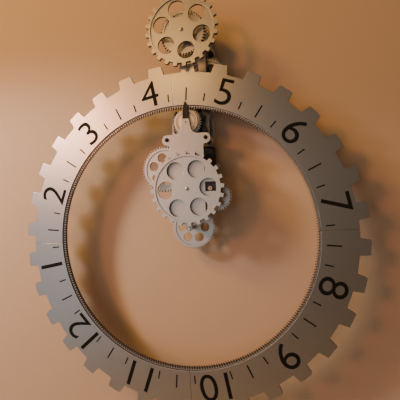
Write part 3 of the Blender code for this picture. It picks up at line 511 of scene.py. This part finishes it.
def turned(name, steps, sides=28, bored=False):
    """Round piece turned from (radius, depth) steps, back to front; a bored one closes on its first step."""
    radius, depth = steps[0]
    bpy.ops.object.select_all(action="DESELECT")
    bpy.ops.mesh.primitive_circle_add(
        vertices=sides, radius=radius * MM, fill_type="NOTHING", location=(0, -depth * MM, 0),
        rotation=(math.radians(90), 0, 0))
    bake_place()
    thing = rename(name)
    bpy.ops.object.mode_set(mode="EDIT")
    bpy.ops.mesh.select_all(action="SELECT")
    for new_radius, new_depth in steps[1:] + (steps[:1] if bored else []):
        bpy.ops.mesh.extrude_edges_move(TRANSFORM_OT_translate={"value": (0, (depth - new_depth) * MM, 0)})
        wider = new_radius / radius
        bpy.ops.transform.resize(value=(wider, 1.0, wider), center_override=PIVOT)
        radius, depth = new_radius, new_depth
    bpy.ops.mesh.select_all(action="SELECT")
    bpy.ops.mesh.remove_doubles(threshold=MERGE * MM)
    if not bored:
        bpy.ops.mesh.fill_holes(sides=0)
    bpy.ops.mesh.select_all(action="SELECT")
    bpy.ops.mesh.normals_make_consistent(inside=False)
    bpy.ops.object.mode_set(mode="OBJECT")
    return thing


def collar(name, bore, rim, depths, sides):
    """Bored disc between two radii and two depths."""
    back, front = depths
    return turned(name, [(bore, back), (rim, back), (rim, front), (bore, front)], sides, True)


gear_ring = toothed_sheet(
    "inner_gear_ring", RING_TEETH, 4, (RING_RIM_R, RING_ROOT_R, RING_TIP_R), RING_TIP_TAPER * RING_PITCH,
    *RING_TEETH_D)
weld(gear_ring, collar("flange", *FLANGE_R, depths_of("gear_ring"), RING_TEETH))
break_edges(gear_ring, 0.12, 1)
dress(gear_ring, ring_steel)
settle_on_ring(gear_ring, FIRST_SEAM + RING_PITCH / 2)
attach(gear_ring, "hour_ring")
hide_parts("gear_ring")


# Drive pinion. Steel, 36 teeth that carry the whole ring from inside, with a smooth shoulder turned in front,
# a sleeve behind that runs on the minute arbor, and a small gear on its far end. A black flange is pressed on
# behind. It turns in the frame of the clock, which hangs a little crooked.
HANG_TURN = -4.35
PINION_TEETH = 36
PINION_ROOT_R = 21.22
PINION_TIP_R = 24.12
PINION_TIP_TAPER = 1.6
PINION_TEETH_D = (46.2, 51.0)
PINION_TURN = -49.425
SHOULDER_R = (7.0, 20.9)
SHOULDER_DEEP = 1.6
SLEEVE_BORE_R = 2.65
SLEEVE_R = 4.6
SLEEVE_D = (34.8, 46.4)
SLEEVE_GEAR_TEETH = 14
SLEEVE_GEAR_ROOT_R = 5.7
SLEEVE_GEAR_TIP_R = 7.9
SLEEVE_GEAR_TAPER = 3.5
SLEEVE_GEAR_DEEP = 4.0
SLEEVE_GEAR_TURN = 17.68
RING_FLANGE_R = (4.9, 24.0)
steel = finish_of("turned_steel", (0.56, 0.55, 0.53), (0.46, 0.45, 0.44), rough=0.34, metal=0.9, scale=900.0)
black_plastic = finish_of(
    "black_plastic", (0.028, 0.028, 0.03), (0.014, 0.014, 0.015), rough=0.52, metal=0.0, scale=900.0,
    bump=0.12, worn=(0.06, 0.06, 0.06))


def settle_on_frame(thing, turn, node):
    """Turn a piece about its own axis, lean it with the frame and move it to the axis of its node."""
    return settle(thing, turn + HANG_TURN, axis_of(node))


def stand_for(piece, body, node):
    """Let a piece move with its body in place of its solid."""
    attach(piece, body)
    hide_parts(node)


def fit(piece, finish, edge, body, node):
    """Break the edges of a round piece, finish it and set it on the axis of its node."""
    break_edges(piece, edge)
    dress(piece, finish)
    settle_on_frame(piece, 0.0, node)
    stand_for(piece, body, node)


pinion_back, pinion_front = depths_of("drive_pinion")
pinion = toothed_sheet(
    "drive_pinion_dressed", PINION_TEETH, 4, (SLEEVE_BORE_R, PINION_ROOT_R, PINION_TIP_R), PINION_TIP_TAPER,
    *PINION_TEETH_D)
weld(pinion, collar("shoulder", *SHOULDER_R, (pinion_front - SHOULDER_DEEP, pinion_front), sides=72))
weld(pinion, collar("sleeve", SLEEVE_BORE_R, SLEEVE_R, SLEEVE_D, sides=32))
sleeve_gear = toothed_sheet(
    "sleeve_gear", SLEEVE_GEAR_TEETH, 4, (SLEEVE_BORE_R, SLEEVE_GEAR_ROOT_R, SLEEVE_GEAR_TIP_R),
    SLEEVE_GEAR_TAPER, pinion_back, pinion_back + SLEEVE_GEAR_DEEP)
weld(pinion, settle(sleeve_gear, SLEEVE_GEAR_TURN - PINION_TURN, (0.0, 0.0)))
break_edges(pinion, 0.12, 1)
dress(pinion, steel)
settle_on_frame(pinion, PINION_TURN, "drive_pinion")
stand_for(pinion, "drive_pinion", "drive_pinion")
ring_flange = collar("ring_flange", *RING_FLANGE_R, depths_of("rear_flange"), sides=72)
fit(ring_flange, black_plastic, edge=0.3, body="drive_pinion", node="rear_flange")


# Coarse gears. Cut from thick satin plate with 24 broad teeth, faced down inside the rim to a thinner web
# with six round windows, and held on the arbor by a small screw. The top one has three spacer pins behind it.
COARSE_TEETH = 24
COARSE_BORE_R = 2.3
COARSE_ROOT_R = 53.5
COARSE_TIP_R = 58.7
COARSE_TIP_TAPER = 0.95
COARSE_WEB_R = 50.8
COARSE_FACING = 1.6
COARSE_HOLE_R = 13.9
COARSE_HOLES_AT_R = 33.9
LOWER_COARSE_TURN = 12.6
LOWER_COARSE_HOLES = 27.9
TOP_COARSE_TURN = 12.0
TOP_COARSE_HOLES = 48.9
SPACER_PIN_R = 1.5
SPACER_PINS_AT_R = 9.0
FIRST_SPACER_PIN = 10.0
SPACER_PIN_SUNK = 0.1
WINDOWS = 6
TOOL_CLEAR = 2.0
# Satin gear plate, with painted shade on the walls of its teeth and windows.
satin_gear = finish_of(
    "satin_gear", (0.6, 0.595, 0.59), (0.52, 0.515, 0.51), rough=0.42, metal=0.8, scale=450.0, painted_wall_shade=0.3)


def punch(thing, tool):
    """Cut a hole or a recess in a piece."""
    cut_with(thing, tool, "DIFFERENCE")


def peg(name, radius, depths, sides, at=(0.0, 0.0)):
    """Round bar between two depths, standing out of the wall at (x, z)."""
    back, front = depths
    bpy.ops.object.select_all(action="DESELECT")
    bpy.ops.mesh.primitive_cylinder_add(
        vertices=sides, radius=radius * MM, depth=(front - back) * MM,
        location=(at[0] * MM, -(front + back) / 2 * MM, at[1] * MM), rotation=(math.radians(90), 0, 0))
    bake_place()
    return rename(name)


def spot(radius, bearing):
    """Point (x, z) at a radius and a bearing."""
    return radius * math.sin(math.radians(bearing)), radius * math.cos(math.radians(bearing))


def windowed_gear(name, teeth, radii, taper, depths, facing, web, hole):
    """Gear with its web faced thinner and six round windows in it; it is drawn with its first tooth up."""
    web_r, web_sides = web
    hole_r, holes_at_r, first_hole, hole_sides = hole
    back, front = depths
    gear = toothed_sheet(name, teeth, 4, radii, taper, back, front)
    punch(gear, peg("face_mill", web_r, (front - facing, front + TOOL_CLEAR), web_sides))
    for i in range(WINDOWS):
        at = spot(holes_at_r, first_hole + 360.0 / WINDOWS * i)
        punch(gear, peg("drill", hole_r, (back - TOOL_CLEAR, front + TOOL_CLEAR), hole_sides, at))
    return gear


def coarse_gear(name, turn, first_hole):
    """One coarse gear, with its windows where they stand once it is turned."""
    gear = windowed_gear(
        name, COARSE_TEETH, (COARSE_BORE_R, COARSE_ROOT_R, COARSE_TIP_R), COARSE_TIP_TAPER,
        depths_of("lower_coarse_gear"), COARSE_FACING, web=(COARSE_WEB_R, 120),
        hole=(COARSE_HOLE_R, COARSE_HOLES_AT_R, first_hole - turn, 48))
    break_edges(gear, 0.3)
    dress(gear, satin_gear)
    return gear


lower_coarse = coarse_gear("lower_show_gear", LOWER_COARSE_TURN, LOWER_COARSE_HOLES)
settle_on_frame(lower_coarse, LOWER_COARSE_TURN, "lower_coarse_gear")
stand_for(lower_coarse, "lower_train", "lower_coarse_gear")
top_coarse = coarse_gear("top_show_gear", TOP_COARSE_TURN, TOP_COARSE_HOLES)
pin_d = (depths_of("top_coarse_gear")[0], depths_of("lower_coarse_gear")[0] + SPACER_PIN_SUNK)
for i in range(3):
    at = spot(SPACER_PINS_AT_R, FIRST_SPACER_PIN - TOP_COARSE_TURN + 120.0 * i)
    weld(top_coarse, peg("pin", SPACER_PIN_R, pin_d, 20, at))
settle_on_frame(top_coarse, TOP_COARSE_TURN, "top_coarse_gear")
stand_for(top_coarse, "top_train", "top_coarse_gear")


# Fine gears. The same satin plate with 48 narrow teeth, a thinner web and six small windows; three turn
# loosely on studs, each in mesh with a small gear on a long arbor, and one is fixed on the top arbor.
FINE_TEETH = 48
FINE_ROOT_R = 34.0
FINE_TIP_R = 37.4
FINE_TIP_TAPER = 1.3
FINE_WEB_R = 31.0
FINE_FACING = 1.3
FINE_HOLE_R = 7.6
FINE_HOLES_AT_R = 19.3
STUD_BORE_R = 2.25
ARBOR_BORE_R = 3.3
TOP_FINE_TURN = 3.0
TOP_FINE_HOLES = 20.0


def fine_gear(name, node, bore, turn, first_hole):
    """One fine gear, with its windows where they stand once it is turned."""
    gear = windowed_gear(
        name, FINE_TEETH, (bore, FINE_ROOT_R, FINE_TIP_R), FINE_TIP_TAPER, depths_of(node), FINE_FACING,
        web=(FINE_WEB_R, 96), hole=(FINE_HOLE_R, FINE_HOLES_AT_R, first_hole - turn, 36))
    break_edges(gear, 0.2)
    dress(gear, satin_gear)
    settle_on_frame(gear, turn, node)
    return gear


def mesh_turn(driver, driver_teeth, node, teeth):
    """Turn of a gear in mesh with one on its driver's axis, which has a tooth straight up the frame."""
    start, end = axis_of(driver), axis_of(node)
    bearing = math.degrees(math.atan2(end[0] - start[0], end[1] - start[1])) - HANG_TURN
    past_tooth = bearing * driver_teeth / 360.0
    return bearing + 180.0 - 360.0 / teeth * (0.5 - past_tooth)


for name, node, driver, driver_teeth, first_hole in (
        ("left_fine_gear", "left_gear", "lower_arbor", 20, 47.0),
        ("bottom_fine_gear", "bottom_gear", "lower_arbor", 36, 32.0),
        ("side_fine_gear", "side_gear", "top_arbor", 52, 19.0)):
    turn = mesh_turn(driver, driver_teeth, node, FINE_TEETH)
    stand_for(fine_gear(name, node, STUD_BORE_R, turn, first_hole), node, node)
top_fine = fine_gear("top_fine_gear_dressed", "top_fine_gear", ARBOR_BORE_R, TOP_FINE_TURN, TOP_FINE_HOLES)
stand_for(top_fine, "top_train", "top_fine_gear")


# Right gear. Smaller, of the same plate, with 32 teeth and small windows. It turns behind the front plate, in
# mesh with the 28 teeth of a small gear on the lower arbor.
RIGHT_TEETH = 32
RIGHT_ROOT_R = 22.0
RIGHT_TIP_R = 25.4
RIGHT_TIP_TAPER = 2.0
RIGHT_WEB_R = 19.0
RIGHT_HOLE_R = 4.4
RIGHT_HOLES_AT_R = 12.0
RIGHT_HOLES = 20.0
right_turn = mesh_turn("lower_arbor", 28, "right_gear", RIGHT_TEETH)
right = windowed_gear(
    "right_fine_gear", RIGHT_TEETH, (STUD_BORE_R, RIGHT_ROOT_R, RIGHT_TIP_R), RIGHT_TIP_TAPER,
    depths_of("right_gear"), FINE_FACING, web=(RIGHT_WEB_R, 72),
    hole=(RIGHT_HOLE_R, RIGHT_HOLES_AT_R, RIGHT_HOLES - right_turn, 28))
break_edges(right, 0.2)
dress(right, satin_gear)
settle_on_frame(right, right_turn, "right_gear")
stand_for(right, "right_gear", "right_gear")


# Arbors and studs. Turned steel; the two long arbors have a pivot in the wall plate and a tapped tip in
# front, and the studs are riveted to the plates, each with a collar on both sides of its gear.
PIVOT_D = 0.6
WALL_D = 3.3
ARBOR_R = 3.0
PIN_R = 2.0
ARBOR_NECK_D = 64.7
TAP_R = 1.25
TAP_FLOOR_D = 65.0
COLLAR_R = 3.5
SEAT_R = 4.2
SEAT_DEEP = 1.5
GEAR_PLAY = 0.5
PLATE_GAP = 0.3
RIVET_R = 3.4
RIVET_RIM_D = 63.8
RIVET_TOP_R = 2.6
plate_back, plate_front = depths_of("front_plate")


def gear_seat(node):
    """Depths of the collars on both sides of a gear."""
    back, front = depths_of(node)
    return back - GEAR_PLAY, front + GEAR_PLAY


def plate_end(node):
    """Steps of a stud's front end: a shoulder behind the front plate, a neck through it and a rivet head."""
    shoulder, head = plate_back - PLATE_GAP, plate_front + PLATE_GAP
    return [(COLLAR_R, shoulder), (PIN_R, shoulder), (PIN_R, head), (RIVET_R, head), (RIVET_R, RIVET_RIM_D),
            (RIVET_TOP_R, depths_of(node)[1])]


def wall_end(gear):
    """Steps of a stud's back end: a pivot in the wall plate and a collar up to the back of its gear."""
    back, front = gear_seat(gear)
    return [(PIN_R, PIVOT_D), (PIN_R, WALL_D), (COLLAR_R, WALL_D), (COLLAR_R, back), (PIN_R, back),
            (PIN_R, front)]


def plate_stud(gear, node):
    """Steps of a stud that hangs on the front plate alone."""
    back, front = gear_seat(gear)
    return [(SEAT_R, back - SEAT_DEEP), (SEAT_R, back), (PIN_R, back), (PIN_R, front),
            (COLLAR_R, front)] + plate_end(node)


arbor_top_d = depths_of("lower_arbor")[1]
arbor_steps = [
    (PIN_R, PIVOT_D), (PIN_R, WALL_D), (ARBOR_R, WALL_D), (ARBOR_R, ARBOR_NECK_D), (PIN_R, ARBOR_NECK_D),
    (PIN_R, arbor_top_d), (TAP_R, arbor_top_d), (TAP_R, TAP_FLOOR_D)]
bottom_steps = wall_end("bottom_gear") + [(COLLAR_R, gear_seat("bottom_gear")[1])] + plate_end("bottom_stud")
side_front = gear_seat("side_gear")[1]
side_steps = wall_end("side_gear") + [(SEAT_R, side_front), (SEAT_R, side_front + SEAT_DEEP)]
for name, steps, body, node in (
        ("long_lower_arbor", arbor_steps, "lower_train", "lower_arbor"),
        ("long_top_arbor", arbor_steps, "top_train", "top_arbor"),
        ("left_gear_stud", plate_stud("left_gear", "left_stud"), "frame", "left_stud"),
        ("right_gear_stud", plate_stud("right_gear", "right_stud"), "frame", "right_stud"),
        ("bottom_gear_stud", bottom_steps, "frame", "bottom_stud"),
        ("side_gear_stud", side_steps, "frame", "side_stud")):
    fit(turned(name, steps), steel, edge=0.12, body=body, node=node)


# Hub screws. Small steel screws with a domed head and a cross recess, one in the tip of each long arbor.
# Each head's outline is given as radii and drops below its top.
HUB_SHANK_R = 0.95
HUB_HEAD = [(3.0, 1.8), (3.0, 1.2), (2.7, 0.6), (2.1, 0.2), (1.2, 0.0)]
HUB_RECESS = (2.6, 0.7, 0.9)


def recessed_screw(name, node, shank_r, head, recess):
    """Screw with a domed head, and two crossing slots in it of a length, width and depth."""
    back, front = depths_of(node)
    dome = [(radius, front - drop) for radius, drop in head]
    screw = turned(name, [(shank_r, back), (shank_r, dome[0][1])] + dome)
    reach, wide, deep = recess
    top = front + TOOL_CLEAR
    floor = front - deep
    for length, height in ((reach, wide), (wide, reach)):
        bpy.ops.object.select_all(action="DESELECT")
        bpy.ops.mesh.primitive_cube_add(size=1, location=(0, -(top + floor) / 2 * MM, 0))
        bpy.ops.transform.resize(value=(length * MM, (top - floor) * MM, height * MM))
        bake_place()
        punch(screw, bpy.context.object)
    return screw


for side in ("lower", "top"):
    node = side + "_hub_screw"
    screw = recessed_screw(side + "_gear_screw", node, HUB_SHANK_R, HUB_HEAD, HUB_RECESS)
    fit(screw, steel, edge=0.06, body=side + "_train", node=node)


# Front plate. Sheet of the same satin silver in front of the drive: a neck, two ears with screws, a lobe for
# the left gear, a foot for the right one with the switch window in it, and a boss for the bottom one.
satin_plate = finish_of(
    "satin_plate", (0.58, 0.57, 0.555), (0.52, 0.51, 0.5), rough=0.42, metal=0.8, scale=900.0, bump=0.03,
    spread=0.08)


def soften(name, finish, width, segments=2):
    """Finish a solid that keeps its shape, with its flats cleaned and its edges lightly rounded."""
    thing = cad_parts[name]
    dress(thing, finish)
    merge = thing.modifiers.new("merge", "WELD")
    merge.merge_threshold = 0.002 * MM
    flats = thing.modifiers.new("flats", "DECIMATE")
    flats.decimate_type = "DISSOLVE"
    flats.angle_limit = math.radians(1.0)
    edge = thing.modifiers.new("edge", "BEVEL")
    edge.width = width * MM
    edge.segments = segments
    edge.limit_method = "ANGLE"
    edge.angle_limit = math.radians(40)
    edge.use_clamp_overlap = True


soften("front_plate", satin_plate, width=0.35)


# Ear screws. Black painted steel, domed, with a cross recess. They go through the ears of the front plate
# into the tapped standoffs behind them.
EAR_SHANK_R = 1.2
EAR_HEAD = [(3.2, 1.6), (3.2, 0.9), (2.8, 0.4), (2.0, 0.1), (1.0, 0.0)]
EAR_RECESS = (3.4, 0.8, 1.0)
black_paint = finish_of(
    "black_paint", (0.014, 0.012, 0.011), (0.007, 0.006, 0.006), rough=0.45, metal=0.0, scale=500.0,
    worn=(0.1, 0.085, 0.075))
black_paint.node_tree.nodes["Principled BSDF"].inputs["Specular IOR Level"].default_value = 0.3
for side in ("left", "right"):
    node = "ear_screw_" + side
    screw = recessed_screw("ear_plate_screw_" + side, node, EAR_SHANK_R, EAR_HEAD, EAR_RECESS)
    fit(screw, black_paint, edge=0.06, body="frame", node=node)


# Pointer. Black painted steel blade behind the neck of the front plate, riveted to it, with its tip on the
# face of the ring.
soften("pointer", black_paint, width=0.2)


# Minute disc. Pale metal, turned with a hub behind, pressed on the minute arbor, with sixty fine dark marks
# printed round its rim.
DISC_R = 18.8
DISC_THICK = 1.5
DISC_HUB_R = 5.0
DISC_HUB_SUNK = 0.2
DISC_BORE_R = 2.7
MINUTE_STEP = 6.0
MINUTE_MARK_R = (13.4, 17.8)
MINUTE_MARK_WIDE = 0.6
MINUTE_MARK_RISE = 0.1
pale_metal = finish_of(
    "pale_metal", (0.66, 0.64, 0.6), (0.58, 0.565, 0.53), rough=0.45, metal=0.6, scale=500.0)
cream_metal = finish_of(
    "cream_metal", (0.86, 0.74, 0.6), (0.78, 0.66, 0.53), rough=0.42, metal=0.6, scale=500.0)
faint_print = finish_of(
    "faint_print", (0.1, 0.075, 0.06), (0.07, 0.055, 0.045), rough=0.6, metal=0.0, scale=700.0)
hub_back, disc_front = depths_of("minute_disc")
disc_back = disc_front - DISC_THICK
disc = peg("minute_dial", DISC_R, (disc_back, disc_front), 96)
weld(disc, peg("hub", DISC_HUB_R, (hub_back, disc_back + DISC_HUB_SUNK), 32))
punch(disc, peg("drill", DISC_BORE_R, (hub_back - TOOL_CLEAR, disc_front + TOOL_CLEAR), 24))
break_edges(disc, 0.25)
dress(disc, cream_metal)
settle_on_frame(disc, 0.0, "minute_disc")
stand_for(disc, "minute_arbor", "minute_disc")
minute_marks = printed_marks(
    "minute_marks", [MINUTE_STEP * minute for minute in range(60)], *MINUTE_MARK_R, MINUTE_MARK_WIDE,
    disc_front + MINUTE_MARK_RISE)
dress(minute_marks, faint_print)
settle_on_frame(minute_marks, 0.0, "minute_disc")
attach(minute_marks, "minute_arbor")


# Plates behind. Pale sheet metal: the wall plate on the wall, the rear plate on its pillars, the bracket that
# steadies the top arbor, and the bridge that stands in front of the side gear.
for name in ("wall_plate", "rear_plate", "top_bracket", "spine_bridge"):
    soften(name, pale_metal, width=0.25)


# Small gears. Steel wheels fixed on the arbors, the cross and minute arbors of the motion work, and brass
# pinions on the motors' shafts.
brass = finish_of("brass", (0.66, 0.5, 0.24), (0.5, 0.37, 0.17), rough=0.36, metal=1.0, scale=500.0)
for name in (
        "cross_arbor", "minute_arbor", "left_drive_pinion", "right_drive_pinion", "bottom_drive_wheel",
        "top_rear_wheel", "hinge_pin"):
    soften(name, steel, width=0.12, segments=1)
for name in ("lower_motor_pinion", "upper_motor_pinion", "lower_bushing"):
    soften(name, brass, width=0.12, segments=1)


# Dark metal. Two standoffs between the plates, tapped for the ear screws, the cans of the two gear motors,
# and the folded channel of the spine.
POST_R = 4.0
POST_TAP_R = 1.5
POST_TAP_FLOOR_D = 48.0
dark_metal = finish_of(
    "dark_metal", (0.11, 0.105, 0.1), (0.06, 0.058, 0.056), rough=0.5, metal=0.5, scale=300.0,
    worn=(0.28, 0.26, 0.24))
for side in ("left", "right"):
    node = "ear_standoff_" + side
    back, front = depths_of(node)
    steps = [(POST_R, back), (POST_R, front), (POST_TAP_R, front), (POST_TAP_R, POST_TAP_FLOOR_D)]
    post = turned("plate_post_" + side, steps, 32)
    fit(post, dark_metal, edge=0.2, body="frame", node=node)
for name in ("lower_motor", "upper_motor", "spine_channel"):
    soften(name, dark_metal, width=0.3)


# Knob of the bracket. Black painted steel, screwed in from the front, with twelve finger notches round its
# rim.
KNOB_SHANK_R = 1.2
KNOB_R = 4.4
KNOB_TOP_R = 3.5
KNOB_BACK_D = 23.3
KNOB_RIM_D = 29.6
NOTCHES = 12
NOTCH_R = 0.6
NOTCHES_AT_R = 4.6
NOTCH_FOOT_D = 24.6
shank_back, knob_front = depths_of("bracket_knob")
knob = turned(
    "notched_knob",
    [(KNOB_SHANK_R, shank_back), (KNOB_SHANK_R, KNOB_BACK_D), (KNOB_R, KNOB_BACK_D), (KNOB_R, KNOB_RIM_D),
     (KNOB_TOP_R, knob_front)], 36)
for i in range(NOTCHES):
    at = spot(NOTCHES_AT_R, 360.0 / NOTCHES * i)
    punch(knob, peg("notch", NOTCH_R, (NOTCH_FOOT_D, knob_front + TOOL_CLEAR), 12, at))
fit(knob, black_paint, edge=0.1, body="frame", node="bracket_knob")


# Black mouldings. Quartz movement, lobed cover of the motion work, box and door for the cells, housing of the
# lower motor, and the switch in its window. Fine spark texture, edges slightly rounded by the mould.
switch_grey = finish_of(
    "switch_grey", (0.4, 0.385, 0.37), (0.3, 0.29, 0.28), rough=0.45, metal=0.0, scale=700.0, bump=0.08,
    worn=(0.5, 0.48, 0.46))
for name in ("movement_case", "motion_case", "battery_box", "motor_housing", "battery_door", "switch_body"):
    soften(name, black_plastic, width=0.4)
soften("switch_knob", switch_grey, width=0.3)


# Cells. Two of them in glossy blue plastic sleeves, side by side in their box, and seen only with the door
# open.
cell_sleeve = finish_of(
    "cell_sleeve", (0.05, 0.14, 0.22), (0.03, 0.09, 0.15), rough=0.3, metal=0.1, scale=300.0)
for name in ("cell_upper", "cell_lower"):
    soften(name, cell_sleeve, width=0.2)


# The room. A plain warm pale wall behind the clock and a plain pale floor well below it, both of matt paint.
# Their places and sizes are in metres.
ROOM_WIDE = 8.0
WALL_Y = 0.0006
FLOOR_Z = -1.4
FLOOR_Y = -3.99


def plain(name, colour):
    """Flat matt paint with a faint unevenness."""
    made = bpy.data.materials.new(name)
    made.use_nodes = True
    nodes, links = made.node_tree.nodes, made.node_tree.links
    shader = nodes["Principled BSDF"]
    shader.inputs["Roughness"].default_value = 0.9
    place = nodes.new("ShaderNodeTexCoord")
    uneven = nodes.new("ShaderNodeTexNoise")
    uneven.inputs["Scale"].default_value = 6.0
    tone = nodes.new("ShaderNodeMix")
    tone.data_type = "RGBA"
    tone.inputs["A"].default_value = (*[0.94 * part for part in colour], 1.0)
    tone.inputs["B"].default_value = (*colour, 1.0)
    links.new(place.outputs["Object"], uneven.inputs["Vector"])
    links.new(uneven.outputs["Fac"], tone.inputs["Factor"])
    links.new(tone.outputs["Result"], shader.inputs["Base Color"])
    return made


bpy.ops.object.select_all(action="DESELECT")
bpy.ops.mesh.primitive_plane_add(
    size=ROOM_WIDE, location=(0, WALL_Y, FLOOR_Z + ROOM_WIDE / 2), rotation=(math.radians(90), 0, 0))
wall = rename("wall")
dress(wall, plain("wall_paint", (0.64, 0.475, 0.345)))
bpy.ops.object.select_all(action="DESELECT")
bpy.ops.mesh.primitive_plane_add(size=ROOM_WIDE, location=(0, FLOOR_Y, FLOOR_Z))
floor = rename("floor")
dress(floor, plain("floor_paint", (0.72, 0.68, 0.62)))


# Lamps. A warm shaded key at the upper left with a smaller one below it, two orange lamps over the clock, a
# peach one in front, two wide soft fills and a faint warm light from all sides. Places are in metres.
def lamp(name, place, aim, width, watts, colour, cone=None):
    """Soft square lamp that looks at a point, or a round one with a shade that leaves a soft-edged cone."""
    bpy.ops.object.light_add(type="SPOT" if cone else "AREA", location=place)
    made = bpy.context.object
    made.name = name
    made.data.energy = watts
    made.data.color = colour
    if cone:
        made.data.shadow_soft_size = width / 2
        made.data.spot_size = math.radians(cone)
        made.data.spot_blend = 0.4
    else:
        made.data.size = width
    way = (made.location - Vector(aim)).normalized()
    made.rotation_euler = way.to_track_quat("Z", "Y").to_euler()


lamp("key", (-0.85, -0.55, 0.26), (-0.08, 0.0, -0.6), width=0.16, watts=24.0, colour=(1.0, 0.86, 0.8),
     cone=68.0)
lamp("key_low", (-1.05, -0.8, 0.1), (0.0, 0.0, -0.15), width=0.25, watts=0.9, colour=(1.0, 0.8, 0.74))
lamp("warm_top", (-0.15, -0.52, 0.30), (-0.05, 0.0, 0.1), width=0.14, watts=0.35, colour=(1.0, 0.5, 0.12))
lamp("warm_far", (-1.2, -0.8, 0.9), (-0.2, 0.0, 0.0), width=0.3, watts=15.0, colour=(1.0, 0.55, 0.07))
lamp("peach_glow", (-1.15, -1.46, 0.38), (-0.2, 0.0, -0.1), width=0.3, watts=9.0, colour=(1.0, 0.34, 0.12))
lamp("low_fill", (-1.6, -1.8, -0.6), (0.0, 0.0, -0.2), width=1.6, watts=3.6, colour=(0.78, 0.9, 1.0))
lamp("front_fill", (-0.4, -1.6, -0.2), (0.0, 0.0, -0.2), width=0.8, watts=2.0, colour=(1.0, 0.95, 0.93))
bpy.context.scene.world = bpy.data.worlds.new("room")
bpy.context.scene.world.use_nodes = True
room_light = bpy.context.scene.world.node_tree.nodes["Background"]
room_light.inputs["Color"].default_value = (1.0, 0.78, 0.55, 1.0)
room_light.inputs["Strength"].default_value = 0.1


# Camera. It stands a little to the right of the ring's centre and above it, and looks slightly left, with the
# place, the turn and the lens that were fitted to the ring's circles and hour marks.
CAMERA_PLACE = (0.11639, -0.52616, -0.12612)
CAMERA_TURN = (90.1316, -2.1910, 10.6960)
bpy.ops.object.camera_add(location=CAMERA_PLACE)
camera = bpy.context.object
camera.rotation_euler = [math.radians(turn) for turn in CAMERA_TURN]
camera.data.lens = 27.054
camera.data.sensor_width = 36.0
bpy.context.scene.camera = camera
